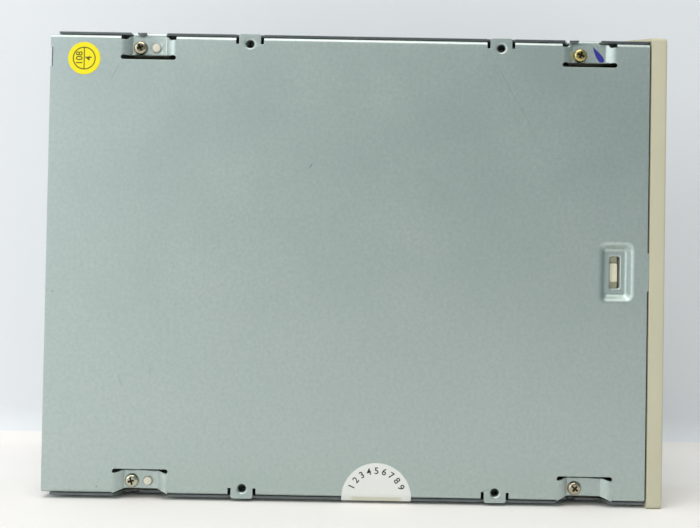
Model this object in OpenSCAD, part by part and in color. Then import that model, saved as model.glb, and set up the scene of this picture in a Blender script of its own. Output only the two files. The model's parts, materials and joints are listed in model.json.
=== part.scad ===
// Half-height disc drive with a motor-driven tray.
// Drawn lying flat: x runs forward from the back of the bezel, y to the user's right, z up from
// the bottom face. stand() then rests the drive on its right-hand side, with the tray opening to +X.

/* [Case] */
// Width across the steel case
case_w = 146; // [145:0.5:148]
// Height of the steel case
case_h = 41.3; // [41:0.1:42.5]
// Depth of the steel case behind the bezel
case_d = 189.5; // [186:0.5:200]
// Thickness of the cover sheet
sheet = 0.8; // [0.6:0.1:1]
// Outer radius of the sheet bends
bend_r = 1.3; // [1.2:0.1:1.8]
// Height of the bottom cover's side flanges
flange_h = 6; // [4:0.5:7]
// Gap between the flanges and the top cover's walls
cover_gap = 0.2; // [0.1:0.05:0.4]
// Height of the top cover's lower edge above the bottom face
wall_lift = 0.9; // [0.5:0.1:1.2]
// Length of the open corner at the rear of each side wall
corner_cut = 2.5; // [2:0.5:6]
// Width of the tab at the middle of the bottom cover's front edge
front_tab_w = 12; // [8:0.5:16]
// Width of the notch in the bottom cover's rear edge
notch_w = 6; // [4:0.5:8]
// Depth of the notch in the bottom cover's rear edge
notch_d = 0.9; // [0.5:0.1:1.5]
// Distance from the bottom cover's left side to the notch
notch_inset = 4.2; // [3:0.1:6]
// Depth of the pressed panel in the top cover
panel_depth = 0.5; // [0.3:0.1:0.7]

/* [Mounting holes] */
// Radius of each threaded hole
hole_r = 1.25; // [1.2:0.05:1.5]
// Distance between the front and rear holes
hole_span_x = 79.25; // [79:0.05:79.5]
// Distance from the case's side to a bottom hole
hole_inset = 3.15; // [3:0.05:3.3]
// Distance from the bezel's back to the front holes
hole_setback = 47.4; // [46:0.1:49]
// Height of the lower side holes
side_hole_z = 10; // [9.5:0.1:10.5]
// Rise from the lower to the upper side holes
side_hole_rise = 11.84; // [11.5:0.01:12.2]
// Radius of the rounded entry of a hole
rim_r = 1.75; // [1.7:0.05:2]
// Outer radius of the drawn collar inside a hole
collar_r = 2.2; // [2:0.1:2.6]
// Height of the drawn collar above the sheet
collar_h = 1.2; // [0.8:0.1:1.3]
// Width of the tab that carries a bottom hole
tab_w = 6.9; // [6:0.1:8]
// Width of the slit on each side of a tab
slit_w = 0.9; // [0.6:0.1:1.2]

/* [Screw pads] */
// Distance from the bezel's back to the front screws
pad_front = 22.2; // [21:0.1:23]
// Distance from the bezel's back to the rear screws
pad_rear = 161.4; // [160:0.1:163]
// Length of a pad's flat
pad_flat = 10.3; // [9.5:0.1:11.5]
// Length of the slope at each end of a pad
pad_ramp = 3.5; // [3:0.1:4]
// Depth of a pad below the bottom face
pad_depth = 1.7; // [1.6:0.1:2.2]
// Width of a pad's strip
strip_w = 4.9; // [4.7:0.1:5.3]
// Inset of a pad's outer edge from the cover's side
pad_edge = 1.3; // [1.1:0.1:1.5]
// Width of the slot beside a pad
slot_w = 1.45; // [1.2:0.05:1.7]
// Distance from a screw to the middle of its pad
pad_lead = 2.8; // [2.6:0.1:3]
// Distance from a screw to the locating pin beside it
pin_lead = 5.05; // [4.9:0.05:5.3]
// Radius of a locating pin
peg_r = 1.3; // [1.1:0.1:1.4]
// Radius of a cover screw's head
head_r = 2.15; // [2:0.05:2.3]
// Height of a cover screw's head
head_h = 1.5; // [1.3:0.1:1.6]
// Radius of a cover screw's shank
shank_r = 1.25; // [1.1:0.05:1.3]
// Length of a cover screw's shank
shank_l = 7; // [6:0.5:8]

/* [Slider window] */
// Distance from the bezel's back to the middle of the dimple
dimple_setback = 10.2; // [10:0.1:10.5]
// Offset of the dimple to the user's right
dimple_shift = 0.2; // [-0.5:0.1:0.5]
// Length of the dimple from front to back
dimple_l = 10.1; // [9.8:0.1:10.4]
// Width of the dimple across the drive
dimple_w = 17.8; // [17:0.1:19]
// Width of the dimple's sloping side
dimple_ramp = 1.75; // [1.5:0.05:2]
// Depth of the dimple
dimple_depth = 2.8; // [2.5:0.1:2.9]
// Length of the window from front to back
window_l = 3; // [2.8:0.1:3.4]
// Width of the window across the drive
window_w = 10; // [9:0.1:11]
// Length of the slider's nub from front to back
nub_l = 2.6; // [2.2:0.1:2.7]
// Width of the slider's nub across the drive
nub_w = 6; // [5:0.1:7]

/* [Bezel] */
// Overhang of the bezel past each side of the case
bezel_over = 1; // [0.8:0.1:1.2]
// Overhang of the bezel below the bottom face
bezel_drop = 0.4; // [0.3:0.1:0.6]
// Overhang of the bezel above the top face
bezel_rise = 0.6; // [0.4:0.1:0.8]
// Thickness of the bezel from front to back
bezel_t = 5; // [4.8:0.1:6]
// Thickness of the bezel's front wall
bezel_face = 2.6; // [2.4:0.1:2.8]
// Thickness of the bezel's rim
bezel_rim = 2; // [1.8:0.1:2.2]
// Rounding of the bezel's front edge
bezel_edge = 0.9; // [0.6:0.1:1.2]
// Gap between the bezel and the covers
bezel_gap = 0.5; // [0.4:0.1:0.8]

/* [Tray] */
// Radius of a disc
disc_r = 60; // [60:0.1:60.5]
// Radius of a small disc
small_disc_r = 40; // [38:0.5:42]
// Distance from the bezel's back to the middle of the disc
disc_setback = 74; // [73.5:0.1:74.5]
// Travel of the tray
tray_travel = 128; // [120:1:130]
// Distance from the top face down to the tray's underside
tray_drop = 16.6; // [16.3:0.1:16.9]
// Thickness of the floor under the disc
tray_floor = 2.2; // [2:0.1:2.4]
// Height of the tray
tray_h = 8.5; // [8.2:0.1:8.8]
// Thickness of the tray's walls
tray_wall = 1.5; // [1.2:0.1:1.8]
// Gap between the tray and the frame's side walls
tray_gap = 2.3; // [2:0.1:2.6]
// Half width of the slot for the turntable
tray_slot = 20; // [18:0.5:21]
// Room for the disc's edge in its well
well_gap = 1; // [0.8:0.1:1.3]

/* [Loading drive] */
// Module of the loading gears
gear_m = 0.75; // [0.7:0.05:0.8]
// Teeth of the tray gear
tray_teeth = 32; // [30:2:34]
// Teeth of the pinion under the drive pulley
pinion_teeth = 16; // [14:2:18]
// Thickness of the loading gears
gear_t = 3; // [2.6:0.1:3.1]
// Distance from the bezel's back to the tray gear
gear_setback = 18; // [17.5:0.1:19]
// Depth of the tray's rack below its underside
rack_h = 3.9; // [3.7:0.1:4]
// Width of the rack's bar
rack_w = 3.6; // [3.2:0.1:3.8]
// Free play between meshing teeth
backlash = 0.16; // [0.12:0.02:0.2]
// Radius of the drive pulley
pulley_r = 12; // [11:0.5:12.5]
// Radius of the motor's pulley
motor_pulley_r = 3.6; // [3.4:0.1:4]
// Thickness of the pulleys
pulley_t = 2; // [1.8:0.1:2]
// Distance between the two pulleys
belt_reach = 27; // [26:0.5:30]
// Slant of the belt's run across the drive, in degrees
belt_lean = 12; // [8:1:14]
// Thickness of the square belt
belt_t = 1; // [0.8:0.1:1]
// Depth of the belt groove
groove_d = 0.8; // [0.6:0.1:0.9]
// Radius of the loading motor
motor_r = 10; // [9.5:0.1:10.5]
// Height of the loading motor
motor_h = 10.5; // [9:0.5:11]
// Radius of the gears' posts
post_r = 1.5; // [1.4:0.1:1.7]

/* [Frame] */
// Thickness of the frame's side walls
frame_wall = 3; // [2.8:0.1:3.2]
// Gap between the frame and the bottom cover's flanges
frame_gap = 0.4; // [0.3:0.1:0.6]
// Distance from the tray's underside down to the gear deck
deck_drop = 6.7; // [6.6:0.1:6.9]
// Thickness of the gear deck
deck_t = 1.6; // [1.4:0.1:1.8]
// Height of the clamp bridge's underside above the tray
bridge_rise = 2.3; // [2.2:0.1:2.5]
// Width of the clamp bridge from front to back
bridge_l = 40; // [36:1:44]
// Thickness of the clamp bridge's sheet
bridge_t = 1; // [0.8:0.1:1]

/* [Cam and traverse] */
// Distance from the bezel's back to the middle of the cam plate
cam_setback = 19; // [18.8:0.1:19.5]
// Thickness of the cam plate
cam_t = 3; // [2.8:0.1:3.2]
// Travel of the cam slider
cam_travel = 12; // [11:0.5:12]
// Drop of the traverse's front pins
cam_drop = 6.6; // [6:0.1:7]
// Radius of the traverse's pins
pin_r = 1.5; // [1.4:0.1:1.6]
// Distance between the two front pins
pin_span = 32; // [30:1:33]
// Distance from the pickup's rearmost place to the traverse's pivot
pivot_lead = 8.5; // [8:0.1:9.5]
// Distance from the tray's underside down to the traverse plate
traverse_drop = 10.3; // [10.1:0.1:10.5]
// Thickness of the traverse plate
traverse_t = 1.4; // [1.2:0.1:1.5]
// Half width of the traverse plate
traverse_half = 32; // [31.5:0.1:32.5]
// Outer radius of a pivot bush
bush_r = 3; // [2.8:0.1:3.2]

/* [Spindle and clamper] */
// Height of the disc's underside above the floor of its well
disc_lift = 1.4; // [1.2:0.1:1.5]
// Radius of the turntable
turntable_r = 14.5; // [14:0.1:15]
// Radius of the rotor
rotor_r = 12.5; // [12:0.1:12.6]
// Radius of the spindle's shaft
shaft_r = 1.2; // [1.1:0.1:1.3]
// Radius of the hub that centres the disc
hub_r = 7.4; // [7.2:0.1:7.45]
// Height of the hub above the disc's underside
hub_h = 1.1; // [1:0.1:1.2]
// Radius of the clamper
clamper_r = 14; // [13.5:0.1:14.5]
// Radius of the clamper's neck
neck_r = 11.6; // [11:0.1:12]
// Gap between the clamper and the hub at rest
clamper_gap = 0.3; // [0.2:0.1:0.4]

/* [Pickup] */
// Distance from the spindle to the lens at its innermost place
lens_start = 23; // [22.8:0.1:23.2]
// Travel of the pickup
pickup_travel = 35.5; // [34:0.5:35.5]
// Half length of the pickup's body along its travel
pickup_half = 9; // [8.8:0.1:9.1]
// Half width of the pickup's body
pickup_w = 22.5; // [22.3:0.1:22.6]
// Height of the pickup's body
pickup_h = 8.5; // [8.2:0.1:8.6]
// Radius of the guide rods
rod_r = 1.5; // [1.4:0.1:1.6]
// Distance of the guide rod from the middle
rod_y = 17; // [16.8:0.1:17.2]
// Distance of the support rod from the middle
rod_far = 19; // [18.8:0.1:19.2]
// Radius of the lens
lens_r = 2.3; // [2:0.1:2.4]
// Module of the sled rack
sled_m = 0.6; // [0.55:0.05:0.65]
// Teeth of the sled gear's small wheel
sled_teeth = 18; // [16:2:20]
// Module of the sled gear's large wheel and pinion
sled_fine_m = 0.5; // [0.45:0.05:0.55]
// Teeth of the sled gear's large wheel
sled_fine_teeth = 36; // [34:2:38]
// Teeth of the sled motor's pinion
sled_pinion_teeth = 16; // [14:2:18]
// Radius of the sled motor
sled_motor_r = 9; // [8.5:0.1:9.5]
// Height of the sled motor
sled_motor_h = 8; // [7:0.5:8]
// Travel of the lens each way
focus_travel = 0.35; // [0.2:0.05:0.4]

/* [Boards] */
// Gap under the boards
board_lift = 2.8; // [2.6:0.1:3]
// Thickness of the boards
board_t = 1.6; // [1.4:0.1:1.6]
// Distance from the bezel's back to the main board's front edge
board_front = 104; // [103:0.5:106]
// Gap between the boards and the frame's bosses
board_gap = 0.8; // [0.6:0.1:1]
// Radius of a board screw's shank
board_screw_r = 1.2; // [1:0.1:1.3]
// Radius of the capacitors
capacitor_r = 3.1; // [2.5:0.1:3.2]
// Height of the capacitors
capacitor_h = 7; // [5:0.5:7.5]

/* [Connectors] */
// Spacing of the data pins
pin_pitch = 2.54; // [2.5:0.01:2.6]
// Side of a square pin
pin_side = 0.64; // [0.6:0.01:0.66]
// Length of the data header
header_w = 58; // [57.6:0.1:58.4]
// Height of the data header
header_h = 9; // [8.8:0.1:9.4]
// Depth of the data header
header_d = 10.7; // [10.4:0.1:11]
// Spacing of the power pins
power_pitch = 5.08; // [5:0.01:5.2]
// Width of the power socket
power_w = 23; // [22.6:0.1:23.4]
// Height of the power socket
power_h = 11; // [10.6:0.1:11.4]
// Depth of the power socket
power_d = 17.3; // [16.5:0.1:18]
// Radius of a power pin
power_pin_r = 1.05; // [1:0.01:1.1]
// Height of the audio and jumper blocks
block_h = 5.8; // [5.6:0.1:6]

/* [Front controls] */
// Height of the middle of the front controls above the board
control_rise = 4.6; // [4.5:0.1:4.8]
// Distance from the case's left side to the headphone jack
jack_inset = 16; // [15.5:0.1:16.5]
// Radius of the jack's bore
jack_bore_r = 1.8; // [1.76:0.01:1.9]
// Outer radius of the jack's barrel
jack_barrel_r = 3.1; // [2.9:0.1:3.3]
// Distance from the case's left side to the volume wheel
wheel_inset = 30; // [29.8:0.1:30.2]
// Radius of the volume wheel
wheel_r = 8; // [7.6:0.1:8]
// Thickness of the volume wheel
wheel_t = 2.4; // [2:0.1:2.6]
// Stand-off of the volume wheel from the bezel's face
wheel_proud = 0.5; // [0.3:0.1:0.7]
// Distance from the case's right side to the lamp
lamp_inset = 31; // [30.5:0.1:31.5]
// Radius of the lamp
lamp_r = 1.5; // [1.3:0.1:1.6]
// Distance from the case's right side to the eject button
button_inset = 19; // [18.5:0.1:19.5]
// Width of the eject button
button_w = 13; // [12:0.5:14]
// Height of the eject button
button_h = 6.2; // [5.8:0.1:6.4]
// Stand-off of the eject button from the bezel's face
button_proud = 0.8; // [0.6:0.1:1]
// Travel of the eject button
button_travel = 1; // [0.6:0.1:1.2]
// Radius of the emergency release hole
release_r = 0.8; // [0.7:0.1:1]

/* [Clearances] */
// Radial room of a turning shaft
run_gap = 0.05; // [0.03:0.01:0.08]
// Room round a sliding piece
slide_gap = 0.2; // [0.15:0.05:0.3]
// Room between a piece and the opening that it shows in
open_gap = 0.4; // [0.3:0.05:0.5]
// Room between pieces that pass each other
pass_gap = 0.3; // [0.25:0.05:0.4]

/* [Hidden] */
$fn = 48;

// Cover lines
case_half = case_w / 2;
wall_in = case_half - sheet;
pan_half = wall_in - cover_gap;
pad_top = pad_depth + sheet;
strip_out = pan_half - pad_edge;
strip_in = strip_out - strip_w;
screw_y = (strip_in + strip_out) / 2;
screw_xs = [-pad_rear, -pad_front];
hole_xs = [-hole_setback, -hole_setback - hole_span_x];
hole_y = case_half - hole_inset;
pad_l = pad_flat + 2 * pad_ramp;
screw_hole_r = shank_r + slide_gap;
coin_r = head_r + 0.6;
coin_d = 0.35;
dimple_x = -dimple_setback;
dimple_top = dimple_depth + sheet;

// Bezel lines
bezel_half = case_half + bezel_over;
bezel_low = -bezel_drop;
bezel_high = case_h + bezel_rise;
face_in = bezel_t - bezel_face;
clip_l = 7;
clip_z = [14, 20];
clip_barb = [2.2, 2.8];

// Frame and tray lines
wall_o = pan_half - sheet - frame_gap;
wall_i = wall_o - frame_wall;
tray_half = wall_i - tray_gap;
tray_z = case_h - tray_drop;
tray_top = tray_z + tray_h;
deck_z = tray_z - deck_drop;
traverse_z = tray_z - traverse_drop;
bridge_z = tray_top + bridge_rise;
disc_x = -disc_setback;
lens_x = disc_x - lens_start;
well_r = disc_r + well_gap;
well_z = tray_z + tray_floor;
disc_z = well_z + disc_lift;
rack_z = tray_z - rack_h;
rack_pitch_y = -(tray_half - 8);
rack_root_y = rack_pitch_y - 1.25 * gear_m;
tray_rear = -(gear_setback + tray_travel + 6);
mouth_half = tray_half + 0.9;
mouth_low = rack_z - 0.6;
mouth_high = tray_top + 4.4;
frame_front = -1;
frame_rear = -pad_rear - 4.6;
frame_low = 7;

// Loading drive lines
gear_r = gear_m * tray_teeth / 2;
pinion_r = gear_m * pinion_teeth / 2;
gear_at = [-gear_setback, rack_pitch_y + gear_r];
pulley_at = gear_at - [gear_r + pinion_r, 0];
motor_at = pulley_at - belt_reach * [cos(belt_lean), sin(belt_lean)];
gear_turn = 270 + 180 / tray_teeth;
pinion_turn = mesh_turn(180, gear_turn, tray_teeth, pinion_teeth);
gear_z = rack_z;
pulley_z = deck_z + open_gap;
deck_rear = motor_at[0] - motor_r - 3;

// Cam and traverse lines
board_z = sheet + board_lift;
board_top = board_z + board_t;
cam_x = -cam_setback;
beam_x = [dimple_x + 2, dimple_x + 5];
cam_foot_x = beam_x[0] - 0.4;
cam_foot_z = dimple_top + slide_gap + 1.1;
cam_foot_t = 1.4;
cam_slot_r = pin_r + pass_gap;
pin_y = pin_span / 2;
traverse_mid = traverse_z + traverse_t / 2;
traverse_top = traverse_z + traverse_t;
traverse_front = cam_x - cam_t / 2 - 7.5;
pivot_x = lens_x - pickup_travel - pickup_half - pivot_lead;
traverse_rear = pivot_x - 3;
cam_high = traverse_mid + 3.5;
cam_low = min(cam_foot_z - 0.9, traverse_mid - cam_drop - cam_slot_r - 1.2);
cam_left = -pin_y - cam_travel - 6;
cam_right = pin_y + 6;
deck_edge = 1 - cam_left;
deck_front = beam_x[0] - 5.8;
rail_half = 26;
bracket_y = [traverse_half + 2, traverse_half + 6];
beam_rear = [pivot_x - 10, pivot_x - 6];
beam_rear_z = [rack_z - 3.6, rack_z - 0.6];
rod_z = traverse_top + 2.2;

// Spindle lines
hub_top = disc_z + hub_h;
rotor_top = disc_z - 4;
rotor_low = traverse_top + 0.8;
clamper_low = hub_top + clamper_gap;
clamper_flange = bridge_z + bridge_t + 0.5;

// Pickup lines
pickup_top = traverse_z - 1.9 + pickup_h;
pickup_low = pickup_top - pickup_h;
sled_r = sled_m * sled_teeth / 2;
sled_fine_r = sled_fine_m * sled_fine_teeth / 2;
sled_pinion_r = sled_fine_m * sled_pinion_teeth / 2;
sled_pitch_y = pickup_w + 4.5;
sled_at = [lens_x + 5, sled_pitch_y + sled_r];
sled_motor_at = sled_at + [sled_fine_r + sled_pinion_r, 0];
sled_turn = 270 + 180 / sled_teeth;
sled_pinion_turn = mesh_turn(0, 0, sled_fine_teeth, sled_pinion_teeth);
sled_fine_z = [traverse_top + pass_gap, traverse_top + pass_gap + 1.8];
sled_rack_z = [sled_fine_z[1] + 0.5, sled_fine_z[1] + 2.9];
holder_low = pickup_top + 0.15 + focus_travel;
flex_t = 0.3;
flex_low = pickup_low - 2.2 - flex_t;
flex_half = 8;
flex_reach = 32;
flex_socket_x = [-board_front - 14, -board_front - 8];
yoke_reach = 7.3;
holder_high = holder_low + 3.3;

// Board and connector lines
board_half = strip_in - board_gap - 0.2;
rear_x = -case_d + 0.2;
control_z = board_top + control_rise;
small_board = [-24, 1];
audio_board_y = [-board_half, -deck_edge - 2];
button_board_y = [deck_edge + 3, board_half];
rear_widths = [power_w, header_w, 4 * pin_pitch, 5 * pin_pitch, 3 * pin_pitch];
rear_gap = (2 * board_half - total(rear_widths, 5)) / 6;
rear_mids = [for (i = [0:4])
    (i + 1) * rear_gap + total(rear_widths, i) + rear_widths[i] / 2 - board_half];
power_y = rear_mids[0];
header_y = rear_mids[1];
jumper_y = rear_mids[2];
audio_y = rear_mids[3];
digital_y = rear_mids[4];
jack_y = case_half - jack_inset;
wheel_y = case_half - wheel_inset;
lamp_y = case_half - lamp_inset;
button_y = case_half - button_inset;
header_mid = board_top + header_h / 2;
block_mid = board_top + block_h / 2;
wheel_x = bezel_t + wheel_proud - wheel_r;
wheel_z = [control_z - wheel_t / 2, control_z + wheel_t / 2];
button_face = bezel_t + button_proud;
stem_end = -2.6;
release_at = [16, mouth_low - 5];
main_posts = [for (dx = [8, 40], s = [-1, 1]) [-board_front - dx, s * (board_half - 2.8)]];
small_posts = [for (y = [4 - board_half, -deck_edge - 5.5, deck_edge + 6.5, board_half - 4]) [-20, y]];
chips = [[[28, 40], [20, 14, 2.2], 12], [[32, -22], [14, 8, 1.8], 8], [[16, -42], [16, 8, 2], 10]];
capacitor_ys = [-28, 2, 30];
capacitor_lead = 21;
bridge_screw_at = [for (dx = [-12, 12], s = [-1, 1]) [disc_x + dx, s * (wall_o + wall_i) / 2]];

// Where the standing drive's origin lies in the flat drawing
mid_x = (button_face - case_d) / 2;
mid_z = (bezel_low + bezel_high) / 2;

// Sum of the first n values of a list
function total(v, n) = n == 0 ? 0 : v[n - 1] + total(v, n - 1);

// Points on an arc
function arc(c, r, from, to, n = 6) =
    [for (i = [0:n]) let (a = from + (to - from) * i / n) c + r * [cos(a), sin(a)]];

// Outline of a rectangle with rounded corners, about the origin
function round_box(w, h, r) =
    concat(arc([w / 2 - r, h / 2 - r], r, 0, 90), arc([r - w / 2, h / 2 - r], r, 90, 180),
        arc([r - w / 2, r - h / 2], r, 180, 270), arc([w / 2 - r, r - h / 2], r, 270, 360));

// Outline of a bent channel of sheet: base along v = 0, legs up to v = depth
function channel(half, depth, t, r) =
    concat([[half, depth]], arc([half - r, r], r, 0, -90), arc([r - half, r], r, 270, 180),
        [[-half, depth], [t - half, depth]], arc([r - half, r], r - t, 180, 270),
        arc([half - r, r], r - t, -90, 0), [[half - t, depth]]);

// Outline of a slot with round ends between two points
function slot_outline(p, q, r) =
    let (a = atan2(q[1] - p[1], q[0] - p[0]))
    concat(arc(q, r, a - 90, a + 90, 8), arc(p, r, a + 90, a + 270, 8));

// Outline of a belt round two pulleys, the second one d away along x
function belt_outline(r1, r2, d) =
    let (a = acos((r1 - r2) / d))
    concat(arc([d, 0], r2, -a, a, 12), arc([0, 0], r1, a, 360 - a, 36));

// Involute of a base circle at a radius, as an angle
function involute(base, r) =
    let (a = acos(min(1, base / r)))
    tan(a) * 180 / PI - a;

// Half the angle that a tooth takes up at a radius
function half_tooth(m, n, r) =
    let (pitch = m * n / 2, base = pitch * cos(20))
    90 / n - backlash / 4 / pitch * 180 / PI + involute(base, pitch) - involute(base, max(r, base));

// Outline of a gear with a tooth pointing along the angle turn
function gear_outline(m, n, turn) =
    let (pitch = m * n / 2, tip = pitch + 0.95 * m, root = pitch - 1.25 * m)
    let (foot = max(root + 0.05, pitch * cos(20)), steps = 4)
    [for (k = [0:n - 1], i = [-steps - 1:steps + 1])
        let (up = steps - max(0, abs(i) - 1))
        let (r = abs(i) > steps ? root : foot + (tip - foot) * up / steps)
        let (side = i < 0 ? -1 : 1)
        let (a = turn + k * 360 / n + side * half_tooth(m, n, max(r, foot)))
        if (i != 0) [r * cos(a), r * sin(a)]];

// Turn of a gear of n2 teeth that meshes with one of n1 teeth, seen from the first along angle
function mesh_turn(angle, turn1, n1, n2) =
    angle + 180 - (0.5 - (angle - turn1) * n1 / 360) * 360 / n2;

// Outline of a rack along x with teeth towards +y from its pitch line, one tooth at x = 0
function rack_outline(m, from, to, back) =
    let (p = PI * m, first = ceil(from / p + 0.5), last = floor(to / p - 0.5), root = -1.25 * m)
    let (lean = tan(20), half = p / 4 - backlash / 4)
    concat([[to, back], [from, back], [from, root]],
        [for (k = [first:last], c = [[-1, root], [-1, 0.95 * m], [1, 0.95 * m], [1, root]])
            [k * p + c[0] * (half - c[1] * lean), c[1]]],
        [[to, root]]);

// Outline of a pad's strip seen from the side: flat in the middle, eased slopes to both ends
function pad_outline() =
    let (n = 8, half = pad_l / 2, lap = 0.4)
    let (up = [for (i = [0:n]) [-half + pad_ramp * i / n, pad_depth * (1 - cos(180 * i / n)) / 2]])
    let (low = concat([[-half - lap, 0]], up, [for (i = [n:-1:0]) [-up[i][0], up[i][1]]],
        [[half + lap, 0]]))
    concat(low, [for (i = [len(low) - 1:-1:0]) low[i] + [0, sheet]]);

// Stands the flat drawing on its side, base at z = 0, middle of the box over the origin
module stand() {
    translate([-mid_x, -mid_z, bezel_half])
        rotate([-90, 0, 0])
            children();
}

// Block between two corners
module block(x, y, z) {
    translate([x[0], y[0], z[0]])
        cube([x[1] - x[0], y[1] - y[0], z[1] - z[0]]);
}

// Upright cylinder or pin between two heights
module upright(at, r, z) {
    translate([at[0], at[1], z[0]])
        cylinder(r = r, h = z[1] - z[0]);
}

// Cylinder along x between two places
module along(y, z, r, x) {
    translate([x[0], y, z])
        rotate([0, 90, 0])
            cylinder(r = r, h = x[1] - x[0]);
}

// Section drawn in y and z, pulled along x
module pull_x(x) {
    translate([x[0], 0, 0])
        rotate([90, 0, 90])
            linear_extrude(x[1] - x[0])
                children();
}

// Section drawn in x and z, pulled along y
module pull_y(y) {
    translate([0, y[1], 0])
        rotate([90, 0, 0])
            linear_extrude(y[1] - y[0])
                children();
}

// The same piece on both sides of the middle plane
module both_sides() {
    children();
    mirror([0, 1, 0])
        children();
}

// Gear between two heights
module gear(at, m, n, turn, z) {
    translate([at[0], at[1], z[0]])
        linear_extrude(z[1] - z[0])
            polygon(gear_outline(m, n, turn));
}

// Pressed dent: a block that narrows by ramp on all sides from height z[0] to z[1]
module dent(at, l, w, ramp, z) {
    skin = 0.02;
    hull() {
        translate([at[0], at[1], z[0] - skin])
            linear_extrude(skin)
                polygon(round_box(l, w, ramp));
        translate([at[0], at[1], z[1] - skin])
            linear_extrude(skin)
                polygon(round_box(l - 2 * ramp, w - 2 * ramp, ramp / 2));
    }
}

// Threaded hole through a drawn collar, entered from z = 0 upwards
module thread_hole() {
    translate([0, 0, -1])
        cylinder(r = hole_r, h = sheet + collar_h + 2);
    translate([0, 0, -0.01])
        cylinder(r1 = rim_r, r2 = hole_r, h = sheet / 2);
}

// Collar of a threaded hole
module collar() {
    cylinder(r = collar_r, h = sheet + collar_h);
}

// Pan-headed screw with a cross recess, head down at z = 0
module pan_screw(r_head, h_head, r_shank, l_shank) {
    arm = r_head * 0.62;
    slot = r_head * 0.24;
    difference() {
        union() {
            rotate_extrude()
                polygon(concat([[0, h_head], [0, 0]],
                    arc([r_head - 0.5, 0.5], 0.5, -90, 0), [[r_head, h_head]]));
            cylinder(r = r_shank, h = h_head + l_shank);
        }
        for (a = [0, 90])
            rotate([0, 0, a])
                translate([-arm, -slot / 2, -1])
                    cube([2 * arm, slot, 1 + h_head * 0.6]);
    }
}

// Puts children at each pad's screw
module at_screws() {
    for (x = screw_xs, s = [-1, 1])
        translate([x, s * screw_y, 0])
            children();
}

// Lower cover: plate with side flanges, screw pads, threaded tabs and the slider's window
module bottom_cover() {
    front = -bezel_gap;
    slit_y = hole_y - 0.1;
    tab_half = tab_w / 2;
    color([0.66, 0.71, 0.69])
    difference() {
        union() {
            difference() {
                pull_x([-case_d, front])
                    polygon(channel(pan_half, flange_h, sheet, bend_r));
                for (x = screw_xs)
                    both_sides()
                        block([x + pad_lead - pad_l / 2, x + pad_lead + pad_l / 2],
                            [strip_in, case_half], [-1, flange_h + 1]);
                for (x = hole_xs)
                    both_sides()
                        block([x - tab_half - slit_w, x + tab_half + slit_w],
                            [slit_y, case_half], [-1, flange_h + 1]);
            }
            for (x = screw_xs)
                both_sides()
                    translate([x + pad_lead, 0, 0])
                        pull_y([strip_in, strip_out])
                            polygon(pad_outline());
            for (x = hole_xs)
                both_sides() {
                    translate([x, slit_y + (case_half - slit_y) / 2 - 0.75, 0])
                        linear_extrude(sheet)
                            polygon(round_box(tab_w, case_half - slit_y + 1.5, 0.7));
                    translate([x, hole_y, 0])
                        collar();
                }
            block([front - 1, 0], [-front_tab_w / 2, front_tab_w / 2], [0, sheet]);
            dent([dimple_x, dimple_shift], dimple_l, dimple_w, dimple_ramp, [sheet, dimple_top]);
        }
        for (x = hole_xs)
            both_sides()
                translate([x, hole_y, 0])
                    thread_hole();
        at_screws() {
            cylinder(r = screw_hole_r, h = 2 * pad_top);
            translate([0, 0, pad_depth - 1])
                cylinder(r = coin_r, h = 1 + coin_d);
        }
        for (s = [-1, 1])
            upright([-pad_rear + pin_lead, s * screw_y], peg_r + 0.1, [-1, 2 * pad_top]);
        for (x = screw_xs)
            both_sides()
                translate([x + pad_lead, strip_in - slot_w / 2, -1])
                    linear_extrude(sheet + 2)
                        polygon(slot_outline([slot_w / 2 - pad_l / 2, 0], [pad_l / 2 - slot_w / 2, 0],
                            slot_w / 2 + 0.01));
        dent([dimple_x, dimple_shift], dimple_l, dimple_w, dimple_ramp, [0, dimple_depth]);
        translate([dimple_x, dimple_shift, 0])
            linear_extrude(2 * dimple_top)
                polygon(round_box(window_l, window_w, 0.6));
        translate([-case_d - 1, notch_inset - pan_half, -1])
            cube([1 + notch_d, notch_w, sheet + 2]);
    }
}

// Opening in the rear wall for a connector
module rear_opening(y, w, h) {
    block([-case_d - 1, -case_d + sheet + 1], [y - w / 2 - open_gap, y + w / 2 + open_gap],
        [board_top - open_gap, board_top + h + open_gap]);
}

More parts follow.
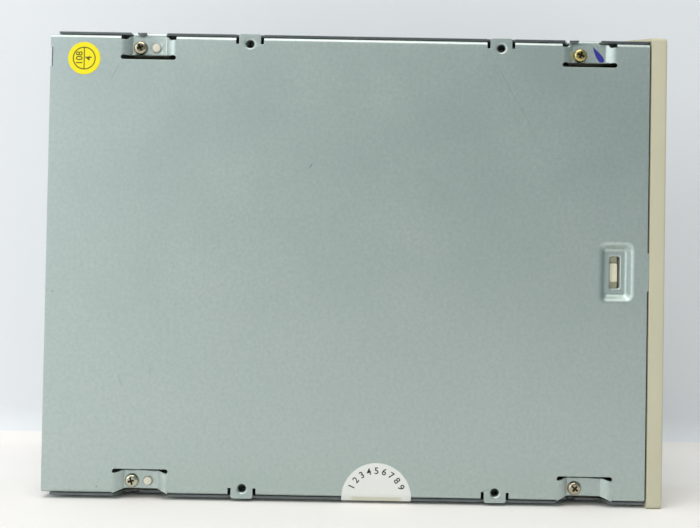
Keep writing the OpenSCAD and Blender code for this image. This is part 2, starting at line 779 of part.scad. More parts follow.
// Upper cover: roof, two side walls with threaded holes, rear wall with connector openings
module top_cover() {
    front = -bezel_gap;
    panel_at = [-case_d / 2, 0];
    panel = [120, 104];
    notch_half = pad_flat / 2 + 0.5;
    tab_half = tab_w / 2 + slit_w;
    color([0.68, 0.72, 0.7])
    difference() {
        union() {
            translate([0, 0, case_h])
                mirror([0, 0, 1])
                    pull_x([-case_d + corner_cut, front])
                        polygon(channel(case_half, case_h - wall_lift, sheet, bend_r));
            translate([-case_d, 0, case_h])
                mirror([0, 0, 1])
                    pull_y([1 - pan_half, pan_half - 1])
                        polygon(concat([[0, case_h - wall_lift - 0.5]], arc([bend_r, bend_r], bend_r, 180, 270),
                            [[2 * corner_cut, 0], [2 * corner_cut, sheet]],
                            arc([bend_r, bend_r], bend_r - sheet, 270, 180),
                            [[sheet, case_h - wall_lift - 0.5]]));
            for (x = hole_xs, z = [side_hole_z, side_hole_z + side_hole_rise])
                both_sides()
                    translate([x, case_half, z])
                        rotate([90, 0, 0])
                            collar();
            mirror([0, 0, 1])
                dent([panel_at[0], panel_at[1]], panel[0], panel[1], 1.5,
                    [sheet - case_h, sheet + panel_depth - case_h]);
        }
        mirror([0, 0, 1])
            dent([panel_at[0], panel_at[1]], panel[0], panel[1], 1.5,
                [-case_h, panel_depth - case_h]);
        for (x = hole_xs, z = [side_hole_z, side_hole_z + side_hole_rise])
            both_sides()
                translate([x, case_half, z])
                    rotate([90, 0, 0])
                        thread_hole();
        for (x = hole_xs)
            both_sides()
                block([x - tab_half, x + tab_half], [wall_in - 1, case_half + 1],
                    [-1, sheet + 2 * pass_gap]);
        for (x = screw_xs)
            both_sides() {
                block([x + pad_lead - notch_half, x + pad_lead + notch_half],
                    [wall_in - 1, case_half + 1], [-1, pad_top + 1.2]);
                translate([x, wall_in - 1, pad_top + 1.2])
                    rotate([-90, 0, 0])
                        cylinder(r = peg_r + 0.2, h = sheet + 2);
            }
        both_sides()
            block([-clip_l - open_gap, clip_barb[1] - clip_l + 2 * open_gap], [wall_in - 1, case_half + 1],
                clip_z + [-0.5, 0.5]);
        rear_opening(header_y, header_w, header_h);
        rear_opening(power_y, power_w, power_h);
        rear_opening(jumper_y, 4 * pin_pitch, block_h);
        rear_opening(audio_y, 5 * pin_pitch, block_h);
        rear_opening(digital_y, 3 * pin_pitch, block_h);
    }
}

// Four screws that hold the lower cover to the frame
module cover_screws() {
    color([0.7, 0.66, 0.56])
    at_screws()
        translate([0, 0, pad_depth + coin_d - head_h])
            pan_screw(head_r, head_h, shank_r, shank_l);
}

// Moulded front with the tray's mouth and the openings of the controls
module front_bezel() {
    h = bezel_high - bezel_low;
    mid = (bezel_high + bezel_low) / 2;
    clip_y = [wall_o + slide_gap, wall_in - pass_gap];
    color([0.8, 0.78, 0.66])
    difference() {
        hull() {
            pull_x([0, bezel_t - bezel_edge])
                translate([0, mid])
                    polygon(round_box(2 * bezel_half, h, 1.2));
            pull_x([bezel_t - 0.3 * bezel_edge, bezel_t - 0.25 * bezel_edge])
                translate([0, mid])
                    polygon(round_box(2 * bezel_half - 0.6 * bezel_edge, h - 0.6 * bezel_edge, 1.1));
            pull_x([bezel_t - 0.05, bezel_t])
                translate([0, mid])
                    polygon(round_box(2 * bezel_half - 2 * bezel_edge, h - 2 * bezel_edge, 1));
        }
        pull_x([-1, face_in])
            translate([0, mid])
                polygon(round_box(2 * (bezel_half - bezel_rim), h - 2 * bezel_rim, 0.6));
        pull_x([-1, bezel_t + 1])
            translate([0, (mouth_low + mouth_high) / 2])
                polygon(round_box(2 * mouth_half, mouth_high - mouth_low, 0.8));
        along(-jack_y, control_z, jack_barrel_r + slide_gap, [0, bezel_t + 1]);
        block([0, bezel_t + 1], [-wheel_y - wheel_r + 1.1, -wheel_y + wheel_r - 1.1],
            [wheel_z[0] - open_gap, wheel_z[1] + open_gap]);
        along(lamp_y, control_z, lamp_r + slide_gap, [0, bezel_t + 1]);
        pull_x([0, bezel_t + 1])
            translate([button_y, control_z])
                polygon(round_box(button_w + 2 * slide_gap, button_h + 2 * slide_gap, 1));
        along(release_at[0], release_at[1], release_r, [0, bezel_t + 1]);
    }
    color([0.8, 0.78, 0.66])
    both_sides() {
        block([-clip_l, 1.4], clip_y, clip_z);
        block([0.4, face_in + 0.1], [clip_y[0], bezel_half - bezel_rim + 0.1], clip_z);
        translate([-clip_l, clip_y[1] - 0.01, clip_z[0] + 0.5])
            linear_extrude(clip_z[1] - clip_z[0] - 1)
                polygon([[0, 0], [clip_barb[1], 0], [clip_barb[1], 0.6], [clip_barb[0], 0.6]]);
    }
}

// Moulded frame: side walls with tray ledges, gear deck, cam beam, pivot beam and bosses
module main_frame() {
    boss_half = pad_flat / 2;
    ledge_y = [tray_half - 2.9, wall_i + 0.5];
    hook_z = [tray_top + slide_gap, tray_top + 1.8];
    color([0.87, 0.86, 0.8])
    difference() {
        union() {
            both_sides() {
                block([frame_rear, frame_front], [wall_i, wall_o], [frame_low, bridge_z]);
                block([tray_rear, frame_front], ledge_y, [tray_z - 2, tray_z - slide_gap]);
                for (x = [[-30, -12], [-120, -100]])
                    block(x, [tray_half - 2.1, wall_i + 0.5], hook_z);
                for (x = screw_xs)
                    block([x + pad_lead - boss_half, x + pad_lead + boss_half],
                        [strip_in - 0.2, wall_o], [pad_top, frame_low + 3]);
                block(beam_rear + [0, 0.1], [0, wall_i + 0.5], beam_rear_z);
                block([beam_rear[1], pivot_x + bush_r + 1.4], bracket_y,
                    [traverse_mid - bush_r - 1.4, beam_rear_z[1]]);
                block([beam_x[0] - 6, beam_x[1]], [rail_half - 2, deck_edge + 3], [deck_z - deck_t, deck_z]);
            }
            for (p = main_posts)
                let (s = sign(p[1]))
                block([p[0] - 3, p[0] + 3], s > 0 ? [p[1] - 3, wall_i + 0.5] : [-wall_i - 0.5, p[1] + 3],
                    [board_top, frame_low + 1.5]);
            for (s = [-1, 1])
                upright([-pad_rear + pin_lead, s * screw_y], peg_r, [pad_depth - 0.5, pad_top + 0.5]);
            block([deck_rear, deck_front], [-wall_i - 0.5, -deck_edge], [deck_z - deck_t, deck_z]);
            block([-50, deck_front], [deck_edge, wall_i + 0.5], [deck_z - deck_t, deck_z]);
            block(beam_x, [-rail_half, rail_half], [dimple_top + 0.6, deck_z]);
            block([beam_x[0] - 2.4, beam_x[0] + 0.1], [-rail_half, rail_half],
                [cam_foot_z + cam_foot_t + pass_gap, cam_foot_z + cam_foot_t + 1.8]);
            for (p = small_posts)
                upright(p, 2.4, [board_top, deck_z - deck_t / 2]);
            upright(gear_at, post_r, [deck_z - 0.1, gear_z + gear_t + 0.3]);
            upright(pulley_at, post_r, [deck_z - 0.1, gear_z + gear_t + 0.3]);
        }
        at_screws()
            upright([0, 0], shank_r + run_gap, [0, pad_top + shank_l + 1]);
        for (p = main_posts)
            upright(p, board_screw_r + run_gap, [0, frame_low + 5]);
        for (p = small_posts)
            upright(p, board_screw_r + run_gap, [0, board_top + 5]);
        for (p = bridge_screw_at)
            upright(p, 0.95, [bridge_z - 6, bridge_z + 1]);
        for (x = hole_xs, z = [side_hole_z, side_hole_z + side_hole_rise])
            both_sides()
                translate([x, wall_i - 1, z])
                    rotate([-90, 0, 0])
                        cylinder(r = collar_r, h = frame_wall + 2);
        both_sides()
            translate([pivot_x, bracket_y[0] - 1, traverse_mid])
                rotate([-90, 0, 0])
                    cylinder(r = bush_r, h = bracket_y[1] - bracket_y[0] + 2);
        upright(motor_at, 4, [0, deck_z + 1]);
        along(release_at[0], release_at[1], release_r + 0.4, [beam_x[0] - 1, beam_x[1] + 1]);
    }
}

// Steel bridge across the tray that holds the clamper
module clamp_bridge() {
    color([0.7, 0.72, 0.74])
    difference() {
        translate([disc_x, 0, bridge_z])
            pull_y([-wall_o - 0.4, wall_o + 0.4])
                polygon(channel(bridge_l / 2, 3, bridge_t, bridge_t + 0.5));
        upright([disc_x, 0], neck_r + 0.6, [bridge_z - 1, bridge_z + 2]);
        for (p = bridge_screw_at)
            upright(p, 1.1, [bridge_z - 1, bridge_z + 2]);
    }
}

// Four small screws of the clamp bridge
module bridge_screws() {
    color([0.75, 0.75, 0.75])
    for (p = bridge_screw_at)
        translate([p[0], p[1], bridge_z + bridge_t + 1.1])
            mirror([0, 0, 1])
                pan_screw(1.7, 1.1, 0.9, bridge_t + 4);
}

// Rear circuit board under the mechanism
module main_board() {
    color([0.1, 0.34, 0.2])
    difference() {
        block([-case_d + 2, -board_front], [-board_half, board_half], [board_z, board_top]);
        for (p = main_posts)
            upright(p, board_screw_r + slide_gap, [0, board_top + 1]);
    }
}

// Small board at the front, between two sides
module small_front_board(y, posts) {
    color([0.12, 0.36, 0.22])
    difference() {
        block(small_board, y, [board_z, board_top]);
        for (p = posts)
            upright(p, board_screw_r + slide_gap, [0, board_top + 1]);
    }
}

// Board of the headphone jack and volume control
module audio_board() {
    small_front_board(audio_board_y, [small_posts[0], small_posts[1]]);
}

// Board of the lamp and eject switch
module button_board() {
    small_front_board(button_board_y, [small_posts[2], small_posts[3]]);
}

// Eight screws that hold the three boards up to the frame
module board_screws() {
    color([0.75, 0.74, 0.7])
    for (p = concat(main_posts, small_posts))
        translate([p[0], p[1], board_z - 1.3])
            pan_screw(2.2, 1.3, board_screw_r, board_t + 2.6);
}

// Square pin lying along x at a height, with its tail turned down to the board
module bent_pin(y, z, tip, tail) {
    half = pin_side / 2;
    block([tip, tail + half], [y - half, y + half], [z - half, z + half]);
    block([tail - half, tail + half], [y - half, y + half], [board_top, z + half]);
}

// Moulded shroud of the data header, open to the rear
module data_header() {
    floor_x = rear_x + 6.8;
    color([0.12, 0.12, 0.13])
    difference() {
        block([rear_x, rear_x + header_d], [header_y - header_w / 2, header_y + header_w / 2],
            [board_top, board_top + header_h]);
        block([rear_x - 1, floor_x], [header_y - header_w / 2 + 1.2, header_y + header_w / 2 - 1.2],
            [board_top + 1.2, board_top + header_h - 1.2]);
        block([rear_x - 1, floor_x], [header_y - 2.2, header_y + 2.2],
            [board_top + header_h / 2, board_top + header_h + 1]);
    }
}

// Two rows of data pins with one pin left out as the key
module data_pins() {
    columns = 20;
    color([0.83, 0.7, 0.36])
    for (row = [0, 1], i = [0:columns - 1])
        if (!(row == 1 && i == columns / 2))
            bent_pin(header_y + (i - (columns - 1) / 2) * pin_pitch,
                header_mid + (row - 0.5) * pin_pitch, rear_x + 1.2, rear_x + header_d + 1.5 + 2 * row);
}

// Outline of the power socket's cavity with its two chamfered upper corners
function power_outline() =
    let (half = power_w / 2 - 1.2, low = board_top + 1.3, high = board_top + power_h - 1.3)
    [[-half, low], [half, low], [half, high - 2.6], [half - 2.6, high], [2.6 - half, high],
        [-half, high - 2.6]];

// Nylon power socket, open to the rear
module power_socket() {
    color([0.9, 0.89, 0.84])
    difference() {
        block([rear_x, rear_x + power_d], [power_y - power_w / 2, power_y + power_w / 2],
            [board_top, board_top + power_h]);
        pull_x([rear_x - 1, rear_x + 12])
            translate([power_y, 0])
                polygon(power_outline());
    }
}

// Four round power pins
module power_pins() {
    z = board_top + power_h / 2;
    tail_r = 0.6 * power_pin_r;
    tail = rear_x + power_d + 1.4;
    color([0.78, 0.76, 0.7])
    for (i = [0:3])
        let (y = power_y + (i - 1.5) * power_pitch) {
            along(y, z, power_pin_r, [rear_x + 1.5, tail + 2 * tail_r]);
            upright([tail, y], tail_r, [board_top, z]);
        }
}

// Base of the three jumper pairs
module jumper_block() {
    color([0.1, 0.1, 0.11])
    block([rear_x + 6, rear_x + 8.5], [jumper_y - 1.5 * pin_pitch, jumper_y + 1.5 * pin_pitch],
        [board_top, board_top + 2 * pin_pitch]);
}

// Three pairs of jumper pins
module jumper_pins() {
    color([0.83, 0.7, 0.36])
    for (row = [0, 1], i = [-1:1])
        bent_pin(jumper_y + i * pin_pitch, board_top + (row + 0.5) * pin_pitch, rear_x + 0.3,
            rear_x + 9.6 + 1.6 * row);
}

// Cap that joins the middle pair of jumper pins
module jumper_cap() {
    bore = pin_side + 2 * run_gap;
    color([0.08, 0.08, 0.09])
    difference() {
        block([rear_x + 0.1, rear_x + 5.9], [jumper_y - 1.2, jumper_y + 1.2],
            [board_top + 0.1, board_top + 2 * pin_pitch - 0.1]);
        for (row = [0, 1])
            let (z = board_top + (row + 0.5) * pin_pitch)
            block([rear_x - 1, rear_x + 7], [jumper_y - bore / 2, jumper_y + bore / 2],
                [z - bore / 2, z + bore / 2]);
    }
}

// Shell of one audio socket, open to the rear
module audio_shell(y, ways) {
    half = (ways + 1) * pin_pitch / 2;
    difference() {
        block([rear_x, rear_x + 9], [y - half, y + half], [board_top, board_top + block_h]);
        block([rear_x - 1, rear_x + 6.4], [y - half + 0.8, y + half - 0.8],
            [board_top + 0.9, board_top + block_h - 0.9]);
        block([rear_x - 1, rear_x + 6.4], [y - 1, y + 1], [board_top + 2, board_top + block_h + 1]);
    }
}

// Sockets for analogue and digital sound
module audio_sockets() {
    color([0.14, 0.14, 0.15]) {
        audio_shell(audio_y, 4);
        audio_shell(digital_y, 2);
    }
}

// Pins of the two sound sockets
module audio_pins() {
    color([0.83, 0.7, 0.36])
    for (y = concat([for (i = [0:3]) audio_y + (i - 1.5) * pin_pitch],
        [for (i = [0, 1]) digital_y + (i - 0.5) * pin_pitch]))
        bent_pin(y, block_mid, rear_x + 1.2, rear_x + 10.2);
}

// Chip in a flat package with leads on its two long sides
module chip(at, size, leads) {
    pitch = (size[0] - 1.2) / (leads - 1);
    block([at[0] - size[0] / 2, at[0] + size[0] / 2], [at[1] - size[1] / 2, at[1] + size[1] / 2],
        [board_top + 0.1, board_top + size[2]]);
    for (i = [0:leads - 1], s = [-1, 1])
        let (x = at[0] + (i - (leads - 1) / 2) * pitch, y = at[1] + s * (size[1] / 2 + 0.4))
        block([x - 0.2, x + 0.2], [y - 0.6, y + 0.6], [board_top, board_top + 0.4]);
}

// Decoder, memory and motor driver chips
module board_chips() {
    color([0.09, 0.09, 0.1])
    for (c = chips)
        chip([-board_front - c[0][0], c[0][1]], c[1], c[2]);
}

// Electrolytic capacitors near the connectors
module capacitors() {
    color([0.2, 0.22, 0.4])
    for (y = capacitor_ys)
        upright([rear_x + capacitor_lead, y], capacitor_r, [board_top, board_top + capacitor_h]);
}

// Connector that takes the pickup's flat cable
module flex_connector() {
    color([0.9, 0.88, 0.8])
    block(flex_socket_x, [-flex_half - 2, flex_half + 2], [board_top, flex_low]);
}

// Flat cable from the pickup, looped back to the board
module pickup_flex() {
    loop_r = (pickup_low - flex_low) / 2;
    loop_at = [lens_x - flex_reach, flex_low + loop_r];
    color([0.62, 0.36, 0.12])
    pull_y([-flex_half, flex_half])
        polygon(concat([[lens_x + 4, pickup_low]], arc(loop_at, loop_r, 90, 270, 10),
            [[flex_socket_x[1], flex_low], [flex_socket_x[1], flex_low + flex_t]],
            arc(loop_at, loop_r - flex_t, 270, 90, 10), [[lens_x + 4, pickup_low - flex_t]]));
}

// Headphone jack on its board, barrel through the bezel
module headphone_jack() {
    color([0.13, 0.13, 0.14])
    difference() {
        union() {
            block([-13, -0.5], [-jack_y - 4.5, -jack_y + 4.5], [board_top, control_z + 4.4]);
            along(-jack_y, control_z, jack_barrel_r, [-0.6, bezel_t - 0.3]);
        }
        along(-jack_y, control_z, jack_bore_r, [-12, bezel_t + 1]);
    }
}

// Body of the volume control with its spindle
module volume_control() {
    color([0.2, 0.2, 0.22]) {
        block([wheel_x - 4.4, wheel_x + 4.4], [-wheel_y - 4.4, -wheel_y + 4.4],
            [board_top, wheel_z[0] - pass_gap]);
        upright([wheel_x, -wheel_y], post_r, [wheel_z[0] - pass_gap - 0.1, wheel_z[1] + 0.3]);
    }
}

// Knurled thumb wheel of the volume control
module volume_wheel() {
    ridges = 40;
    color([0.78, 0.76, 0.64])
    translate([wheel_x, -wheel_y, wheel_z[0]])
        difference() {
            linear_extrude(wheel_t)
                polygon([for (i = [0:4 * ridges - 1])
                    let (a = i * 90 / ridges, r = i % 4 < 2 ? wheel_r : wheel_r - 0.3)
                    [r * cos(a), r * sin(a)]]);
            translate([0, 0, -1])
                cylinder(r = post_r + run_gap, h = wheel_t + 2);
        }
}

// Block that holds the lamp on its board
module lamp_holder() {
    color([0.12, 0.12, 0.13])
    difference() {
        block([-8, -3], [lamp_y - 2.4, lamp_y + 2.4], [board_top, control_z + 2.6]);
        along(lamp_y, control_z, lamp_r + run_gap, [-7, 0]);
    }
}

// Round lamp that shows in the bezel
module lamp() {
    color([0.35, 0.7, 0.3])
    translate([-6.9, lamp_y, control_z])
        rotate([0, 90, 0])
            rotate_extrude()
                polygon(concat([[0, 0], [lamp_r, 0]],
                    arc([0, bezel_t - 0.2 + 6.9 - lamp_r], lamp_r, 0, 90, 8)));
}

// Body of the eject switch
module eject_switch() {
    color([0.15, 0.15, 0.16])
    difference() {
        block([-9, -4.2], [button_y - 3.2, button_y + 3.2], [board_top, control_z + 3]);
        along(button_y, control_z, 1.4, [-8.6, 0]);
    }
}

// Plunger of the eject switch
module switch_plunger() {
    color([0.75, 0.72, 0.6])
    along(button_y, control_z, 1.3, [-8.4 + button_travel, stem_end]);
}

// Eject button: cap, retaining flange and stem
module eject_button() {
    color([0.8, 0.78, 0.66]) {
        pull_x([1.4, button_face - 0.4])
            translate([button_y, control_z])
                polygon(round_box(button_w, button_h, 0.9));
        pull_x([button_face - 0.41, button_face])
            translate([button_y, control_z])
                polygon(round_box(button_w - 0.8, button_h - 0.8, 0.7));
        pull_x([0.2, face_in - open_gap])
            translate([button_y, control_z])
                polygon(round_box(button_w + 2.6, button_h + 1.6, 0.9));
        along(button_y, control_z, 1.6, [stem_end, 0.3]);
    }
}

// Can of the loading motor under the gear deck
module loading_motor() {
    top = deck_z - deck_t;
    color([0.66, 0.67, 0.68])
    difference() {
        union() {
            upright(motor_at, motor_r, [top - motor_h, top]);
            upright(motor_at, 3, [top - 0.1, top + 1]);
        }
        upright(motor_at, 1 + run_gap, [top - motor_h + 1.5, top + 2]);
    }
}

// Grooved belt pulley between two heights
module belt_wheel(at, r, z) {
    mid = (z[0] + z[1]) / 2;
    groove = belt_t / 2 + 0.1;
    translate([at[0], at[1], 0])
        rotate_extrude()
            polygon([[0, z[0]], [r, z[0]], [r, mid - groove], [r - groove_d, mid - groove],
                [r - groove_d, mid + groove], [r, mid + groove], [r, z[1]], [0, z[1]]]);
}

// Motor's pulley with the motor shaft that it is pressed on
module motor_pulley() {
    color([0.82, 0.7, 0.4]) {
        belt_wheel(motor_at, motor_pulley_r, [pulley_z, pulley_z + pulley_t]);
        upright(motor_at, 1, [deck_z - deck_t - motor_h + 2, pulley_z + 0.1]);
    }
}

// Square rubber belt between the two pulleys
module drive_belt() {
    mid = pulley_z + pulley_t / 2;
    inner = [pulley_r, motor_pulley_r] - [1, 1] * (groove_d - 0.08);
    run = motor_at - pulley_at;
    color([0.07, 0.07, 0.07])
    translate([pulley_at[0], pulley_at[1], mid - belt_t / 2])
        rotate([0, 0, atan2(run[1], run[0])])
            linear_extrude(belt_t)
                difference() {
                    polygon(belt_outline(inner[0] + belt_t, inner[1] + belt_t, norm(run)));
                    polygon(belt_outline(inner[0], inner[1], norm(run)));
                }
}

// Drive pulley with the pinion on top
module drive_pulley() {
    color([0.9, 0.88, 0.8])
    difference() {
        union() {
            belt_wheel(pulley_at, pulley_r, [pulley_z, pulley_z + pulley_t]);
            gear(pulley_at, gear_m, pinion_teeth, pinion_turn, [pulley_z + pulley_t - 0.1, gear_z + gear_t]);
        }
        upright(pulley_at, post_r + run_gap, [deck_z, gear_z + gear_t + 1]);
    }
}

// Gear that drives the tray's rack
module tray_gear() {
    color([0.92, 0.9, 0.84])
    difference() {
        union() {
            gear(gear_at, gear_m, tray_teeth, gear_turn, [gear_z, gear_z + gear_t]);
            upright(gear_at, post_r + 2, [deck_z + pass_gap, gear_z + 0.1]);
        }
        upright(gear_at, post_r + run_gap, [deck_z, gear_z + gear_t + 1]);
    }
}

// Sliding tray with its disc well, turntable slot and rack
module disc_tray() {
    front = 0.8;
    corner = well_r + tray_wall;
    strip_edge = rack_pitch_y + 1.2 * gear_m;
    color([0.16, 0.16, 0.17])
    difference() {
        union() {
            difference() {
                block([tray_rear, front], [-tray_half, tray_half], [tray_z, tray_top]);
                difference() {
                    block([tray_rear + tray_wall, front - 2], [strip_edge, tray_half - tray_wall],
                        [tray_z - 1, tray_top - tray_wall]);
                    upright([disc_x, 0], corner, [tray_z - 2, tray_top]);
                }
            }
            translate([-gear_setback, rack_pitch_y, rack_z])
                linear_extrude(rack_h + 0.1)
                    polygon(rack_outline(gear_m, tray_rear + gear_setback, gear_setback - 4,
                        rack_root_y - rack_w - rack_pitch_y));
        }
        upright([disc_x, 0], well_r, [well_z, tray_top + 1]);
        upright([disc_x, 0], small_disc_r + well_gap / 2, [well_z - 0.9, tray_top + 1]);
        upright([disc_x, 0], tray_slot, [0, tray_top + 1]);
        block([tray_rear - 1, disc_x], [-tray_slot, tray_slot], [0, tray_top + 1]);
        for (s = [-1, 1])
            block([-3, front + 1], [s * 40 - 4.2, s * 40 + 4.2], [well_z, well_z + 3.4]);
    }
}

// Front of the tray with its two mounting lugs
module tray_door() {
    low = mouth_low + open_gap;
    high = mouth_high - open_gap;
    half = mouth_half - open_gap;
    mid = (low + high) / 2;
    color([0.8, 0.78, 0.66]) {
        pull_x([1, bezel_t])
            translate([0, mid])
                polygon(round_box(2 * half, high - low, 0.6));
        pull_x([bezel_t - 0.01, bezel_t + 0.5])
            translate([0, mid])
                polygon(round_box(2 * half - 1, high - low - 1, 0.6));
        for (s = [-1, 1])
            block([-2.6, 1.1], [s * 40 - 4, s * 40 + 4], [well_z + 0.2, well_z + 3.2]);
    }
}

// Slider whose slanted slots raise and lower the front of the traverse
module cam_slider() {
    color([0.86, 0.84, 0.72]) {
        pull_x([cam_x - cam_t / 2, cam_x + cam_t / 2])
            difference() {
                translate([cam_left, cam_low])
                    square([cam_right - cam_left, cam_high - cam_low]);
                for (y = [-pin_y, pin_y])
                    polygon(slot_outline([y, traverse_mid], [y - cam_travel, traverse_mid - cam_drop],
                        cam_slot_r));
            }
        block([cam_x + cam_t / 2 - 0.1, cam_foot_x], [-14, 10], [cam_foot_z, cam_foot_z + cam_foot_t]);
        translate([dimple_x, dimple_shift, dimple_top + slide_gap])
            linear_extrude(cam_foot_z - dimple_top)
                polygon(round_box(nub_l, nub_w, 0.4));
    }
}

// Holder of a guide rod's end on the traverse plate
module rod_holder(y, x) {
    block(x, [y - 3, y + 3], [traverse_top - 0.1, rod_z + rod_r + 1.1]);
}

// Plate that carries the spindle and pickup, hinged at the rear on two pins
module traverse_frame() {
    wing = sled_at[1] + sled_fine_r + 4;
    window = [lens_x - pickup_travel - pickup_half - 4, lens_x + pickup_half + 0.4];
    color([0.6, 0.62, 0.64])
    difference() {
        union() {
            block([traverse_rear, traverse_front], [-traverse_half, traverse_half],
                [traverse_z, traverse_top]);
            block([sled_at[0] - 16, sled_motor_at[0] + 13], [0, wing], [traverse_z, traverse_top]);
            block([pivot_x + 10, traverse_front - 2], [-traverse_half, 1.2 - traverse_half],
                [traverse_z - 3, traverse_top]);
            block([sled_motor_at[0] + sled_motor_r + 1, traverse_front - 2],
                [traverse_half - 1.2, traverse_half], [traverse_z - 3, traverse_top]);
            both_sides() {
                translate([pivot_x, traverse_half - 2, traverse_mid])
                    rotate([-90, 0, 0])
                        cylinder(r = pin_r, h = bracket_y[1] + 1 - traverse_half + 2);
                along(pin_y, traverse_mid, pin_r, [traverse_front - 3, cam_x + cam_t / 2 - 0.5]);
            }
            for (y = [rod_y, -rod_far], x = [[window[0] - 3.6, window[0] - 0.2], [window[1], window[1] + 3.6]])
                rod_holder(y, x);
            upright(sled_at, shaft_r, [traverse_z, sled_rack_z[1] + 0.6]);
        }
        block(window, [-pickup_w - 1.5, pickup_w + 0.7], [traverse_z - 5, traverse_top + 0.01]);
        for (y = [rod_y, -rod_far])
            along(y, rod_z, rod_r + run_gap, [window[0] - 3.2, window[1] + 3.2]);
        upright([disc_x, 0], 4.3, [0, traverse_top + 1]);
        upright(sled_motor_at, 2, [0, traverse_top + 1]);
    }
}

// Two rubber bushes that hold the traverse's pivot pins
module pivot_bushes() {
    color([0.1, 0.1, 0.1])
    both_sides()
        translate([pivot_x, bracket_y[0], traverse_mid])
            rotate([-90, 0, 0])
                difference() {
                    cylinder(r = bush_r - run_gap, h = bracket_y[1] - bracket_y[0]);
                    translate([0, 0, -1])
                        cylinder(r = pin_r + run_gap, h = bracket_y[1] - bracket_y[0] + 2);
                }
}

// Base, bearing and stator of the spindle motor
module spindle_motor() {
    stator_r = rotor_r - 1.9;
    color([0.45, 0.46, 0.48])
    translate([disc_x, 0, 0])
        difference() {
            union() {
                upright([0, 0], 13, [traverse_z - 1.6, traverse_z]);
                upright([0, 0], 4, [traverse_z - 1.6, rotor_low + 3]);
                upright([0, 0], stator_r, [rotor_low + 0.8, rotor_top - 2.3]);
            }
            upright([0, 0], shaft_r + run_gap, [traverse_z - 1.2, rotor_top]);
        }
}

// Rotor cup with the spindle's shaft
module spindle_rotor() {
    cup = 1.2;
    color([0.72, 0.73, 0.75])
    translate([disc_x, 0, 0]) {
        difference() {
            upright([0, 0], rotor_r, [rotor_low, rotor_top]);
            upright([0, 0], rotor_r - cup, [rotor_low - 1, rotor_top - cup - 0.1]);
        }
        upright([0, 0], shaft_r, [traverse_z - 0.8, rotor_top - cup]);
    }
}

// Turntable with the hub that centres the disc
module turntable() {
    color([0.12, 0.12, 0.13])
    translate([disc_x, 0, 0])
        difference() {
            rotate_extrude()
                polygon([[0, rotor_top], [turntable_r, rotor_top], [turntable_r, disc_z - 0.5],
                    [hub_r + 2.6, disc_z - 0.5], [hub_r + 2.6, disc_z - 0.1], [hub_r, disc_z - 0.1],
                    [hub_r - 0.8, hub_top], [0, hub_top]]);
            upright([0, 0], 4.6, [hub_top - 2, hub_top + 1]);
        }
}

// Rubber ring that the disc lies on
module turntable_mat() {
    color([0.06, 0.06, 0.06])
    translate([disc_x, 0, 0])
        difference() {
            upright([0, 0], turntable_r - 0.2, [disc_z - 0.5, disc_z]);
            upright([0, 0], hub_r + 2.7, [disc_z - 1, disc_z + 1]);
        }
}

// Ring magnet in the hub
module hub_magnet() {
    color([0.3, 0.3, 0.31])
    translate([disc_x, 0, 0])
        difference() {
            upright([0, 0], 4.5, [hub_top - 2, hub_top - 0.1]);
            upright([0, 0], 1.4, [hub_top - 3, hub_top + 1]);
        }
}

// Disc clamper that hangs in the bridge
module clamper() {
    top = clamper_flange + 1.4;
    color([0.88, 0.87, 0.83])
    translate([disc_x, 0, 0])
        rotate_extrude()
            polygon([[0, clamper_low], [clamper_r, clamper_low], [clamper_r, clamper_low + 2.3],
                [neck_r, clamper_low + 2.3], [neck_r, clamper_flange], [clamper_r, clamper_flange],
                [clamper_r, top], [9.2, top], [9.2, top - 1.5], [0, top - 1.5]]);
}

// Steel plate in the clamper that the magnet pulls on
module clamper_plate() {
    color([0.7, 0.71, 0.73])
    translate([disc_x, 0, 0])
        difference() {
            upright([0, 0], 9, [clamper_flange - 0.1, clamper_flange + 1.1]);
            upright([0, 0], 2, [clamper_flange - 1, clamper_flange + 2]);
        }
}

// Two steel rods that the pickup slides on
module guide_rods() {
    rear = lens_x - pickup_travel - pickup_half - 7;
    front = lens_x + pickup_half + 3.4;
    color([0.8, 0.81, 0.83])
    for (y = [rod_y, -rod_far])
        along(y, rod_z, rod_r, [rear, front]);
}

// Cast body of the pickup with its rod bore and open rod fork
module pickup_body() {
    x = [lens_x - pickup_half, lens_x + pickup_half];
    color([0.5, 0.51, 0.53])
    difference() {
        block(x, [-pickup_w, pickup_w], [pickup_low, pickup_top]);
        along(rod_y, rod_z, rod_r + run_gap, x + [-1, 1]);
        block(x + [-1, 1], [-pickup_w - 1, -rod_far + rod_r], [rod_z - rod_r - 0.1, rod_z + rod_r + 0.1]);
        upright([lens_x, 0], 3, [pickup_top - 4, pickup_top + 1]);
    }
}

// Toothed rack on the side of the pickup
module pickup_rack() {
    color([0.9, 0.88, 0.8])
    translate([sled_at[0], sled_pitch_y, sled_rack_z[0]])
        linear_extrude(sled_rack_z[1] - sled_rack_z[0])
            polygon(rack_outline(sled_m, -6, pickup_travel + 5, pickup_w - sled_pitch_y));
}

// Magnet yokes on both sides of the lens holder
module pickup_yokes() {
    color([0.66, 0.67, 0.69])
    for (s = [-1, 1])
        let (x = lens_x + s * yoke_reach)
        block([x - 1.1, x + 1.1], [-6, 6], [pickup_top, pickup_top + 2.4]);
}

// Holder that floats the lens between the yokes
module lens_holder() {
    color([0.13, 0.13, 0.14])
    difference() {
        block([lens_x - 5.4, lens_x + 5.4], [-5.5, 5.5], [holder_low, holder_high]);
        upright([lens_x, 0], lens_r - 0.4, [holder_low - 1, holder_high + 1]);
    }
}

// Moulded objective lens
module objective_lens() {
    dome = 2.9;
    rise = dome - sqrt(dome * dome - lens_r * lens_r);
    edge = asin(lens_r / dome);
    color([0.55, 0.6, 0.75])
    translate([lens_x, 0, holder_high])
        rotate_extrude()
            polygon(concat([[0, 0], [lens_r, 0]],
                arc([0, 0.3 + rise - dome], dome, 90 - edge, 90, 8)));
}

